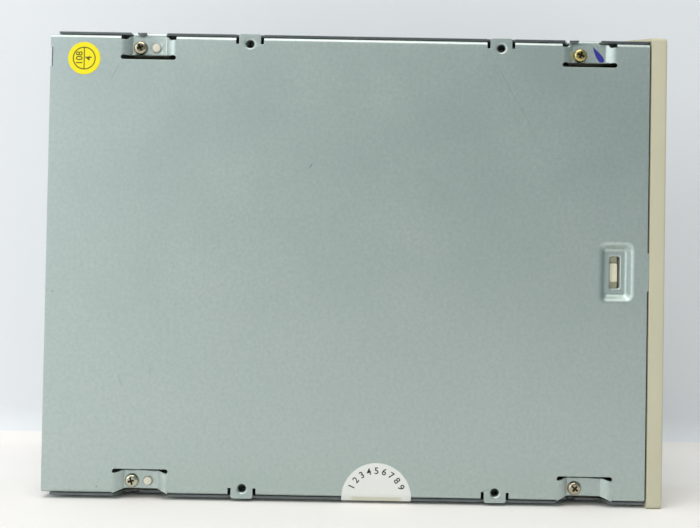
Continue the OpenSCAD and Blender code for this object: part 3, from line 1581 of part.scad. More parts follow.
// Motor of the pickup drive under the traverse plate
module sled_motor() {
    color([0.66, 0.67, 0.68])
    difference() {
        upright(sled_motor_at, sled_motor_r, [traverse_z - sled_motor_h, traverse_z]);
        upright(sled_motor_at, 0.75 + run_gap, [traverse_z - sled_motor_h + 1.2, traverse_z + 1]);
    }
}

// Pinion of the sled motor with its shaft
module sled_pinion() {
    color([0.82, 0.7, 0.4]) {
        gear(sled_motor_at, sled_fine_m, sled_pinion_teeth, sled_pinion_turn,
            [sled_fine_z[0], sled_fine_z[1] + 0.2]);
        upright(sled_motor_at, 0.75, [traverse_z - sled_motor_h + 1.6, sled_fine_z[0] + 0.1]);
    }
}

// Double gear between the pinion and the pickup's rack
module sled_gear() {
    color([0.9, 0.88, 0.8])
    difference() {
        union() {
            gear(sled_at, sled_fine_m, sled_fine_teeth, 0, sled_fine_z);
            gear(sled_at, sled_m, sled_teeth, sled_turn, [sled_fine_z[1] - 0.1, sled_rack_z[1] + 0.2]);
        }
        upright(sled_at, shaft_r + run_gap, [traverse_top, sled_rack_z[1] + 1]);
    }
}

stand() bottom_cover();
stand() top_cover();
stand() cover_screws();
stand() front_bezel();
stand() main_frame();
stand() clamp_bridge();
stand() bridge_screws();
stand() main_board();
stand() audio_board();
stand() button_board();
stand() board_screws();
stand() data_header();
stand() data_pins();
stand() power_socket();
stand() power_pins();
stand() jumper_block();
stand() jumper_pins();
stand() jumper_cap();
stand() audio_sockets();
stand() audio_pins();
stand() board_chips();
stand() capacitors();
stand() flex_connector();
stand() pickup_flex();
stand() headphone_jack();
stand() volume_control();
stand() volume_wheel();
stand() lamp_holder();
stand() lamp();
stand() eject_switch();
stand() switch_plunger();
stand() eject_button();
stand() loading_motor();
stand() motor_pulley();
stand() drive_belt();
stand() drive_pulley();
stand() tray_gear();
stand() disc_tray();
stand() tray_door();
stand() cam_slider();
stand() traverse_frame();
stand() pivot_bushes();
stand() spindle_motor();
stand() spindle_rotor();
stand() turntable();
stand() turntable_mat();
stand() hub_magnet();
stand() clamper();
stand() clamper_plate();
stand() guide_rods();
stand() pickup_body();
stand() pickup_rack();
stand() pickup_yokes();
stand() lens_holder();
stand() objective_lens();
stand() sled_motor();
stand() sled_pinion();
stand() sled_gear();
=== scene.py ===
import json
import math
from contextlib import contextmanager

import bmesh
import bpy
from bpy.props import FloatProperty, FloatVectorProperty, PointerProperty
from mathutils import Matrix, Vector


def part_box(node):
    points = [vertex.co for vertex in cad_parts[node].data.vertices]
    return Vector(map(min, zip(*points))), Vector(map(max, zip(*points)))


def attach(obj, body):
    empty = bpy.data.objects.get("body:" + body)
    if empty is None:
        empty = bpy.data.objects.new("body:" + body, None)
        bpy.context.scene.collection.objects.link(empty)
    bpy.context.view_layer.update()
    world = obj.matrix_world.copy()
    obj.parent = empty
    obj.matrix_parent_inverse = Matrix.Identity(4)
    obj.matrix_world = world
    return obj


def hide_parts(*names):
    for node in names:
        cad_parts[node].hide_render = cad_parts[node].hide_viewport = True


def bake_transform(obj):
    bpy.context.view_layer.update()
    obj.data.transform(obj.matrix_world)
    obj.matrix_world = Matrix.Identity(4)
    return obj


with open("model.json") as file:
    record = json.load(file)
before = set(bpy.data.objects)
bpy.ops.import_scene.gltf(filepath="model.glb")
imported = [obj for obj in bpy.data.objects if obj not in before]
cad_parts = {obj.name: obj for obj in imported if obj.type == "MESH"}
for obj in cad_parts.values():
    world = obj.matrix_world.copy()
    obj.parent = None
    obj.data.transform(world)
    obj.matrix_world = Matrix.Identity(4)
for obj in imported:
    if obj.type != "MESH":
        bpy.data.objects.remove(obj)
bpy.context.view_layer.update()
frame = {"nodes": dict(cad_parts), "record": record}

bl_info = {
    "name": "Disc drive finish",
    "version": (1, 0, 0),
    "blender": (4, 5, 0),
    "location": "3D View > Sidebar > Disc Drive",
    "description": "Finishes, screws, labels and studio stage of a half-height disc drive",
    "category": "Object",
}

MM = 0.001

# The lying drive's origin in the standing frame, in mm: forward, right and up
ORIGIN = (91.85, 74.0, 20.75)

# Screw pads in mm: half length with both slopes and of the flat alone, depth, and middles along the drive
PAD_HALF, PAD_FLAT, PAD_DEPTH = 8.65, 5.15, 1.7
PAD_MIDDLES = (-158.6, -19.4)

# Cover screws in mm: places along the drive, behind the pads' middles, and distance from its middle line
SCREW_X = tuple(middle - 2.8 for middle in PAD_MIDDLES)
SCREW_Y = 68.25

# Middle in mm of the dent round the slider's window
DENT_X, DENT_Y = -10.2, 0.2

# Upper cover in mm: inside of its side walls, half length of their notches at the pads; rounding of sheet edges
WALL_Y, NOTCH_HALF, SHEET_EDGE = 72.0, 5.8, 0.15

# Height of printed numbers, and the angle from which an edge counts as sharp
NUMERAL = 2.9 * MM
SHARP = math.radians(20)

# Sockets of a colour Mix node
FACTOR, FIRST, SECOND, MIXED = 0, 6, 7, 2

# How a piece that is modelled facing up turns to face out of each side of the standing drive
FACING = {
    "bottom": Matrix.Rotation(math.radians(90), 4, "X"),
    "front": Matrix.Rotation(math.radians(90), 4, "Y"),
    "left": Matrix.Identity(4),
    "right": Matrix.Rotation(math.radians(180), 4, "X"),
    "top": Matrix.Rotation(math.radians(-90), 4, "X"),
}

BODY_OF = {node: body for body, nodes in frame["record"]["behaviour"]["bodies"].items() for node in nodes}


def linear(code):
    """An sRGB hex colour as linear red, green, blue and full alpha."""
    parts = [int(code[i:i + 2], 16) / 255 for i in (0, 2, 4)]
    return tuple(c / 12.92 if c <= 0.04045 else ((c + 0.055) / 1.055) ** 2.4 for c in parts) + (1.0,)


def standing(x, y, z):
    """A place in the drive lying flat, in mm forward of the bezel's back, to the right and up, in metres."""
    return Vector(((x + ORIGIN[0]) * MM, (z - ORIGIN[2]) * MM, (ORIGIN[1] - y) * MM))


def lying(place):
    """The mm forward, right and up in the drive lying flat of a place in metres."""
    return place.x / MM - ORIGIN[0], ORIGIN[1] - place.z / MM, place.y / MM + ORIGIN[2]


def nearest_pad(x):
    """Middle of the screw pad nearest to a place along the drive, in mm."""
    return min(PAD_MIDDLES, key=lambda middle: abs(x - middle))


def colour_property(name, description, code):
    """A colour that a user can change, from its sRGB hex value."""
    return FloatVectorProperty(name=name, description=description, subtype="COLOR", size=4, min=0.0, max=1.0,
                               default=linear(code))


def length_property(name, description, mm):
    """A length that a user can change, given in mm."""
    return FloatProperty(name=name, description=description, unit="LENGTH", min=0.0, precision=5,
                         default=mm * MM)


class DriveColours(bpy.types.PropertyGroup):
    """Colours of the drive's finishes."""
    zinc: colour_property("Zinc", "Bare galvanised sheet of the covers", "bbc9c6")
    zinc_pale: colour_property("Pale zinc", "Lighter clouds in the sheet", "c8d1ce")
    cream: colour_property("Cream", "Moulded front, door, button and wheel", "ccc8af")
    ivory: colour_property("Ivory", "Moulded inner frame", "dedbc8")
    acetal: colour_property("Acetal", "Gears and pulleys", "ece8d8")
    tray: colour_property("Tray", "Moulded disc tray", "2d2d30")
    mask: colour_property("Solder mask", "Lacquer of the circuit boards", "1f6a41")
    yellow: colour_property("Yellow", "Paper of the round dot", "ffee00")
    paper: colour_property("Paper", "Paper of the seal", "eceeea")
    floor: colour_property("Floor", "Studio floor", "f5f2f0")
    wall: colour_property("Wall", "Studio wall", "e8ebf0")


class DriveSizes(bpy.types.PropertyGroup):
    """Sizes of what is added to the drive."""
    dot: length_property("Dot", "Diameter of the yellow dot", 10.2)
    ring: length_property("Ring", "Diameter of the printed ring on the dot", 7.2)
    seal: length_property("Seal", "Radius of the paper seal", 10.9)
    paper: length_property("Paper", "Thickness of dot and seal", 0.1)
    ink: length_property("Ink", "Thickness of printed marks", 0.02)
    head: length_property("Screw head", "Radius of a cover screw's head", 2.15)
    thread: length_property("Thread", "Pitch of the threaded holes", 0.5)


class DriveStage(bpy.types.PropertyGroup):
    """Camera and light of the stage."""
    lens: FloatProperty(name="Lens", description="Focal length of the camera, in mm", default=49.14)
    reach: length_property("Reach", "Distance from the camera to the drive's lower cover", 300.0)
    roll: FloatProperty(name="Roll", description="Roll of the camera", subtype="ANGLE", default=math.radians(1.01))
    key: FloatProperty(name="Key", description="Power of the large lamp on the left", unit="POWER", default=5.4)
    fill: FloatProperty(name="Fill", description="Power of the soft lamp overhead", unit="POWER", default=8.8)
    sky: FloatProperty(name="Sky", description="Strength of the even light all round", default=0.34)


def per_mm(size):
    """Scale of a pattern whose features are size millimetres wide."""
    return 1 / (size * MM)


def add(tree, kind, links=None, values=None, **settings):
    """Adds a node, sets its settings and socket values, and links its sockets from other nodes' outputs."""
    node = tree.nodes.new(kind)
    for name, value in settings.items():
        setattr(node, name, value)
    for socket, value in (values or {}).items():
        node.inputs[socket].default_value = value
    for socket, source in (links or {}).items():
        tree.links.new(source, node.inputs[socket])
    return node


def start_material(name, metallic=0.0, **sockets):
    """A new material with its node tree, its shader and the object's own coordinates."""
    material = bpy.data.materials.new(name)
    material.use_nodes = True
    tree = material.node_tree
    shader = tree.nodes["Principled BSDF"]
    shader.inputs["Metallic"].default_value = metallic
    for socket, value in sockets.items():
        shader.inputs[socket.replace("_", " ")].default_value = value
    return tree, shader, add(tree, "ShaderNodeTexCoord").outputs["Object"]


def wire(tree, shader, colour, gloss, bump=None):
    """Links a material's colour, the node that gives its roughness and its bump to the shader."""
    tree.links.new(colour, shader.inputs["Base Color"])
    tree.links.new(gloss.outputs["Result"], shader.inputs["Roughness"])
    if bump:
        tree.links.new(bump.outputs["Normal"], shader.inputs["Normal"])


def darker(colour, share):
    """The same colour with a share of its light."""
    return tuple(c * share for c in colour[:3]) + (1.0,)


def galvanised_sheet(colours):
    """Zinc-coated sheet steel, bare: a matt grey-green sheen with soft clouds, a pebbled grain and a few scuffs."""
    tree, shader, where = start_material("Galvanised steel sheet", 1.0)
    clouds = add(tree, "ShaderNodeTexNoise", {"Vector": where},
                 {"Scale": per_mm(26), "Detail": 5.0, "Roughness": 0.62})
    # the rolled grain is finer than this on the real sheet, and is drawn coarse enough to show
    grain = add(tree, "ShaderNodeTexNoise", {"Vector": where},
                {"Scale": per_mm(1.1), "Detail": 3.0, "Roughness": 0.55})
    tint = add(tree, "ShaderNodeMix", {FACTOR: clouds.outputs["Fac"]},
               {FIRST: colours.zinc, SECOND: colours.zinc_pale}, data_type="RGBA")
    mottle = add(tree, "ShaderNodeMapRange", {"Value": grain.outputs["Fac"]},
                 {"From Min": 0.3, "From Max": 0.7})
    tint = add(tree, "ShaderNodeMix", {FACTOR: mottle.outputs["Result"], FIRST: tint.outputs[MIXED]},
               {SECOND: darker(colours.zinc, 0.95)}, data_type="RGBA")
    # scuffs: middle (mm forward, mm right), half length and half width in mm, slant in degrees, depth of tone
    scuffs = ((-106.8, -31.6, 1.3, 0.22, 60, 0.5), (-165.4, 36.6, 2.6, 0.6, 105, 0.12),
              (-156.0, 33.3, 2.2, 0.5, 95, 0.1), (-187.2, 9.1, 0.4, 0.3, 0, 0.5),
              (-172.0, 70.0, 0.5, 0.35, 0, 0.45), (-60.0, -12.0, 1.4, 0.3, 140, 0.08),
              (-168.9, -60.3, 4.2, 0.14, 63, 0.3))
    for x, y, half_l, half_w, slant, depth in scuffs:
        local = add(tree, "ShaderNodeMapping", {"Vector": where},
                    {"Location": standing(x, y, 0), "Rotation": (0, math.radians(-slant), 0),
                     "Scale": (half_l * MM, 2 * MM, half_w * MM)}, vector_type="TEXTURE")
        far = add(tree, "ShaderNodeVectorMath", {0: local.outputs["Vector"]}, operation="LENGTH")
        mark = add(tree, "ShaderNodeMapRange", {"Value": far.outputs["Value"]},
                   {"From Min": 0.35, "From Max": 1.0, "To Min": depth, "To Max": 0.0})
        tint = add(tree, "ShaderNodeMix", {FACTOR: mark.outputs["Result"], FIRST: tint.outputs[MIXED]},
                   {SECOND: linear("2b302f")}, data_type="RGBA")
    rough = add(tree, "ShaderNodeMapRange", {"Value": clouds.outputs["Fac"]}, {"To Min": 0.42, "To Max": 0.54})
    bump = add(tree, "ShaderNodeBump", {"Height": grain.outputs["Fac"]},
               {"Strength": 0.18, "Distance": 0.03 * MM})
    wire(tree, shader, tint.outputs[MIXED], rough, bump)


def two_tone(name, tones, broad, rough, fine=None, bump=None, streak=None, metallic=0.0, **sockets):
    """A finish whose two tones drift in broad patches, with its gloss and bump broken up by a finer pattern.

    broad and fine are a pattern's width in mm, detail and unevenness, rough is the least and most roughness,
    bump a strength and a depth in mm, and streak the scale that draws the fine pattern out.
    """
    tree, shader, where = start_material(name, metallic, **sockets)
    patches = add(tree, "ShaderNodeTexNoise", {"Vector": where},
                  {"Scale": per_mm(broad[0]), "Detail": broad[1], "Roughness": broad[2]})
    grain = patches
    if streak:
        where = add(tree, "ShaderNodeMapping", {"Vector": where}, {"Scale": streak}).outputs["Vector"]
    if fine:
        grain = add(tree, "ShaderNodeTexNoise", {"Vector": where},
                    {"Scale": per_mm(fine[0]), "Detail": fine[1], "Roughness": fine[2]})
    tint = add(tree, "ShaderNodeMix", {FACTOR: patches.outputs["Fac"]}, {FIRST: tones[0], SECOND: tones[1]},
               data_type="RGBA")
    gloss = add(tree, "ShaderNodeMapRange", {"Value": grain.outputs["Fac"]}, {"To Min": rough[0], "To Max": rough[1]})
    relief = bump and add(tree, "ShaderNodeBump", {"Height": grain.outputs["Fac"]},
                          {"Strength": bump[0], "Distance": bump[1] * MM})
    wire(tree, shader, tint.outputs[MIXED], gloss, relief)
    return tree, shader, tint


def moulded_plastic(name, colour, grain=0.35, rough=0.45, depth=0.012, cloud=14.0, shade=0.93):
    """Injection-moulded plastic: even colour with faint clouds, and the fine spark grain of the mould."""
    two_tone(name, (colour, darker(colour, shade)), (cloud, 4.0, 0.5), (rough - 0.06, rough + 0.08),
             (grain, 2.0, 0.5), (0.35, depth))


def worked_metal(name, code, worn, rough, streak=None, grain=0.4, depth=0.004):
    """Plated, drawn or ground metal: a clean sheen broken by fine streaks along the way it was worked."""
    two_tone(name, (linear(code), linear(worn)), (5, 5.0, 0.7), (rough - 0.07, rough + 0.1), (grain, 3.0, 0.5),
             (0.3, depth), streak, 1.0)


def board_laminate(colours):
    """Glass laminate under green lacquer: tracks stand out as paler bands a millimetre apart, under a wet gloss."""
    tree, shader, where = start_material("Lacquered glass laminate", IOR=1.5)
    flat = add(tree, "ShaderNodeMapping", {"Vector": where}, {"Rotation": (math.radians(90), 0, 0)})
    tracks = add(tree, "ShaderNodeTexBrick", {"Vector": flat.outputs["Vector"]},
                 {"Scale": 1.0, "Brick Width": 9 * MM, "Row Height": 1.2 * MM, "Mortar Size": 0.32 * MM,
                  "Mortar Smooth": 0.2, "Color1": colours.mask, "Color2": darker(colours.mask, 0.9),
                  "Mortar": linear("3d8a58")}, offset=0.37, offset_frequency=3, squash=0.6)
    glass = add(tree, "ShaderNodeTexNoise", {"Vector": where}, {"Scale": per_mm(0.6)})
    bump = add(tree, "ShaderNodeBump", {"Height": tracks.outputs["Fac"]}, {"Strength": 0.5, "Distance": 0.03 * MM})
    gloss = add(tree, "ShaderNodeMapRange", {"Value": glass.outputs["Fac"]}, {"To Min": 0.22, "To Max": 0.36})
    wire(tree, shader, tracks.outputs["Color"], gloss, bump)


def flex_film():
    """Polyimide film over copper: amber, with darker lanes between the conductors, one millimetre apart."""
    tree, shader, where = start_material("Polyimide film", IOR=1.6)
    lanes = add(tree, "ShaderNodeTexWave", {"Vector": where}, {"Scale": per_mm(6.3), "Distortion": 0.0},
                wave_type="BANDS", bands_direction="Z", wave_profile="SIN")
    tint = add(tree, "ShaderNodeMix", {FACTOR: lanes.outputs["Fac"]},
               {FIRST: linear("7a4413"), SECOND: linear("c98a3a")}, data_type="RGBA")
    gloss = add(tree, "ShaderNodeMapRange", {"Value": lanes.outputs["Fac"]}, {"To Min": 0.2, "To Max": 0.32})
    wire(tree, shader, tint.outputs[MIXED], gloss)


def soft_rubber():
    """Moulded rubber: near black and dull, with a dusty bloom in patches."""
    two_tone("Moulded rubber", (linear("141414"), linear("2a2a29")), (3, 6.0, 0.5), (0.6, 0.85))


def clear_resin(name, code, clear, ior, rough):
    """Cast epoxy or moulded lens: light goes through it, tinted, with a faint flow pattern inside."""
    two_tone(name, (linear(code), darker(linear(code), 0.8)), (1.2, 2.0, 0.5), (rough, rough + 0.05), IOR=ior,
             Transmission_Weight=clear)


def label_paper(name, colour, rough, bend_shade=None):
    """Coated label paper: flat colour, faint fibre, slight satin; a second colour paints shade on the seal's bend
    over the edge.
    """
    tree, shader, tint = two_tone(name, (colour, darker(colour, 0.93)), (6, 3.0, 0.5), (rough, rough + 0.15),
                                  (0.5, 4.0, 0.7), (0.2, 0.006))
    if bend_shade:
        # painted shade on the seal's band at the case's edge: axis, then mm where the tint starts and where it is
        # full
        edges = (("Z", 2.5, 2.1), ("Y", -19.6, -20.0), ("X", -1.2, 0.4), ("X", 15.9, 14.3))
        where = add(tree, "ShaderNodeTexCoord").outputs["Object"]
        apart = add(tree, "ShaderNodeSeparateXYZ", {"Vector": where})
        band = None
        for axis, begins, full in edges:
            inside = add(tree, "ShaderNodeMapRange", {"Value": apart.outputs[axis]},
                         {"From Min": begins * MM, "From Max": full * MM}).outputs["Result"]
            band = inside if band is None else add(
                tree, "ShaderNodeMath", {0: band, 1: inside}, operation="MULTIPLY").outputs["Value"]
        tint = add(tree, "ShaderNodeMix", {FACTOR: band, FIRST: tint.outputs[MIXED]},
                   {SECOND: linear(bend_shade)}, data_type="RGBA")
        tree.links.new(tint.outputs[MIXED], shader.inputs["Base Color"])


def printed_ink(name, code, rough=0.5):
    """Ink on paper or plastic: a thin film whose tone breaks up a little where it wetted unevenly."""
    two_tone(name, (linear(code), darker(linear(code), 0.75)), (0.4, 4.0, 0.5), (rough, rough + 0.1))


class DRIVE_OT_finishes(bpy.types.Operator):
    """Makes the materials of all pieces"""
    bl_idname = "drive.finishes"
    bl_label = "Finishes"

    def execute(self, context):
        colours = context.scene.drive_colours
        galvanised_sheet(colours)
        moulded_plastic("Cream ABS", colours.cream, grain=0.5, rough=0.5, depth=0.015)
        # a lighter copy of the cream for the slider, as painted light where it sits in the shade of the dent
        moulded_plastic("Lightened ABS, painted light", linear("fdf9de"), grain=0.5, rough=0.45, depth=0.01, shade=0.96)
        moulded_plastic("Ivory ABS", colours.ivory, grain=0.4, rough=0.42, shade=0.95)
        moulded_plastic("Acetal", colours.acetal, grain=0.9, rough=0.3, depth=0.004, cloud=6.0, shade=0.95)
        moulded_plastic("Charcoal ABS", colours.tray, grain=0.45, rough=0.48, depth=0.02, shade=0.8)
        moulded_plastic("Black polyester", linear("242426"), grain=0.3, rough=0.42, shade=0.75)
        moulded_plastic("Black epoxy", linear("1c1c1d"), grain=0.15, rough=0.55, depth=0.006, shade=0.8)
        moulded_plastic("Natural nylon", linear("e9e5d6"), grain=0.7, rough=0.35, depth=0.006, cloud=5.0, shade=0.94)
        moulded_plastic("Blue sleeve", linear("27335f"), grain=1.5, rough=0.3, depth=0.005, shade=0.85)
        worked_metal("Nickel plate, browned", "d2c9b2", "8d806a", 0.22, grain=0.3)
        worked_metal("Nickel plate, brassy", "dccb8c", "9c8a55", 0.24, grain=0.3)
        worked_metal("Nickel plate, bright", "dcdac8", "a8a590", 0.2, grain=0.3)
        worked_metal("Plated sheet steel", "b7bbbf", "9da2a6", 0.34, streak=(0.06, 1.0, 1.0))
        # darker grey for the cut edges and the wall tabs: partly bare cut steel, partly painted shade
        worked_metal("Bare steel edge and painted shade", "878c8e", "5b6062", 0.42, streak=(1.0, 1.0, 0.1))
        # dark brown for the screws' cross recesses: the plating's tarnish, with painted shade in the hollow
        worked_metal("Recess tarnish and painted shade", "5d5238", "2e281a", 0.4, grain=0.3)
        worked_metal("Cut thread", "aab0ad", "7f8583", 0.35, grain=0.2)
        worked_metal("Drawn steel can", "b3b5b7", "95989b", 0.3, streak=(1.0, 0.08, 1.0))
        worked_metal("Ground steel", "d3d5d8", "c2c5c9", 0.14, streak=(0.04, 1.0, 1.0), grain=0.15, depth=0.001)
        worked_metal("Gilt pins", "d9b45a", "c29a48", 0.25, grain=0.3)
        worked_metal("Tin plate", "c7c8c6", "a9aaa8", 0.32, grain=0.3)
        worked_metal("Cast zinc", "9fa2a5", "85888b", 0.46, grain=0.6, depth=0.02)
        worked_metal("Sintered magnet", "6a6a6d", "4f4f52", 0.4, grain=0.25, depth=0.01)
        board_laminate(colours)
        flex_film()
        soft_rubber()
        clear_resin("Tinted epoxy", "8fd07a", 0.6, 1.55, 0.12)
        clear_resin("Coated lens", "9fb4e6", 0.85, 1.5, 0.03)
        label_paper("Yellow paper", colours.yellow, 0.45)
        # the seal's darker band over the case's edge is painted shade
        label_paper("White paper", colours.paper, 0.42, bend_shade="d6d5c5")
        printed_ink("Olive ink", "6d6a12")
        printed_ink("Black ink", "2a2b2a")
        printed_ink("Blue marker ink", "34349c", 0.35)
        printed_ink("Grey pad print", "5a5a52")
        return {"FINISHED"}


def pick(*objects):
    """Selects these objects alone, and makes the first one active."""
    bpy.ops.object.select_all(action="DESELECT")
    for obj in objects:
        obj.select_set(True)
    bpy.context.view_layer.objects.active = objects[0]


@contextmanager
def editing(obj):
    """Edit mode on one object, with all of it selected at the start."""
    pick(obj)
    bpy.ops.object.mode_set(mode="EDIT")
    bpy.ops.mesh.select_all(action="SELECT")
    yield
    bpy.ops.object.mode_set(mode="OBJECT")


def primitive(operator, scale=(1.0, 1.0, 1.0), **settings):
    """A new primitive, alone in the selection, with its scale, turn and place applied."""
    bpy.ops.object.select_all(action="DESELECT")
    operator(**settings)
    piece = bpy.context.object
    piece.scale = scale
    bpy.ops.object.transform_apply(location=True, rotation=True, scale=True)
    return piece


def choose(obj, kind, test):
    """In edit mode, selects faces that pass a test of middle and normal, or sharp edges by their two ends."""
    bpy.ops.mesh.select_mode(type=kind)
    bpy.ops.mesh.select_all(action="DESELECT")
    mesh = bmesh.from_edit_mesh(obj.data)
    chosen = 0
    for item in mesh.faces if kind == "FACE" else mesh.edges:
        if kind == "FACE":
            passes = test(item.calc_center_median(), item.normal)
        else:
            passes = item.calc_face_angle(0.0) > SHARP and test(*[v.co for v in item.verts])
        if passes:
            item.select_set(True)
            chosen += 1
    bmesh.update_edit_mesh(obj.data)
    if not chosen:
        raise RuntimeError("nothing to select on " + obj.name)


def extrude(x, y, z):
    """In edit mode, extrudes what is selected by a way in metres."""
    bpy.ops.mesh.extrude_region_move(TRANSFORM_OT_translate={"value": (x, y, z)})


def apply_modifier(obj, kind, **settings):
    """Adds a modifier to the picked object and applies it."""
    modifier = obj.modifiers.new(kind.lower(), kind)
    for name, value in settings.items():
        setattr(modifier, name, value)
    bpy.ops.object.modifier_apply(modifier=modifier.name)


def cut(obj, tool, operation, solver):
    """Joins a tool to an object or cuts it out of it, and uses the tool up."""
    pick(obj)
    apply_modifier(obj, "BOOLEAN", operation=operation, object=tool, solver=solver)
    bpy.data.objects.remove(tool)


def place(obj, at, side, spin=0.0):
    """Turns a piece that faces up out of one side of the drive, sets it at a place and applies both."""
    pick(obj)
    obj.matrix_world = Matrix.Translation(at) @ FACING[side] @ Matrix.Rotation(spin, 4, "Z") @ obj.matrix_world
    bpy.ops.object.transform_apply(location=True, rotation=True, scale=True)


def join(name, pieces):
    """Joins pieces into one named object at the origin."""
    pick(*pieces)
    if len(pieces) > 1:
        bpy.ops.object.join()
    joined = bpy.context.object
    joined.name = joined.data.name = name
    return joined


def shade(obj, angle=40):
    """Shades an object smooth up to an angle in degrees."""
    pick(obj)
    bpy.ops.object.shade_smooth_by_angle(angle=math.radians(angle))


def smooth(obj, angle=40):
    """Shades an object smooth up to an angle in degrees, with its large faces kept flat."""
    shade(obj, angle)
    apply_modifier(obj, "WEIGHTED_NORMAL", keep_sharp=True)


def coat(obj, *materials):
    """Gives an object its materials by name."""
    obj.data.materials.clear()
    for name in materials:
        obj.data.materials.append(bpy.data.materials[name])


def merged_copy(node):
    """A copy of a CAD node as one clean mesh."""
    source = frame["nodes"][node]
    piece = bpy.data.objects.new(node + "_finished", source.data.copy())
    bpy.context.scene.collection.objects.link(piece)
    pick(piece)
    bpy.ops.mesh.customdata_custom_splitnormals_clear()
    with editing(piece):
        bpy.ops.mesh.remove_doubles(threshold=0.002 * MM)
    return piece


def round_edges(piece, width):
    """Rounds the sharp edges of a piece by a width in mm."""
    pick(piece)
    if width:
        apply_modifier(piece, "BEVEL", width=width * MM, segments=2, limit_method="ANGLE",
                       angle_limit=math.radians(32), use_clamp_overlap=False, miter_outer="MITER_ARC",
                       loop_slide=False)
    smooth(piece)


def settle(piece, node):
    """Lets a piece stand for a CAD node: on its body, with the node hidden."""
    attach(piece, BODY_OF[node])
    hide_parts(node)


def finish_nodes(rows):
    """Finishes CAD nodes: rows of node, material and edge rounding in mm."""
    for node, material, width in rows:
        piece = merged_copy(node)
        round_edges(piece, width)
        coat(piece, material)
        settle(piece, node)


def repeat(piece, rows):
    """Copies a piece to rows of place, side, spin and material; the first model is used up."""
    copies = []
    for at, side, spin, material in rows:
        pick(piece)
        bpy.ops.object.duplicate(linked=False)
        copy = bpy.context.object
        if len(copy.data.materials) > 1:
            copy.data.materials[0] = bpy.data.materials[material]
        else:
            coat(copy, material)
        place(copy, at, side, spin)
        copies.append(copy)
    bpy.data.objects.remove(piece)
    return copies


def within(value, start, end):
    """How far a value has come from a start to an end, from 0 to 1."""
    return min(1.0, max(0.0, (value - start) / (end - start)))


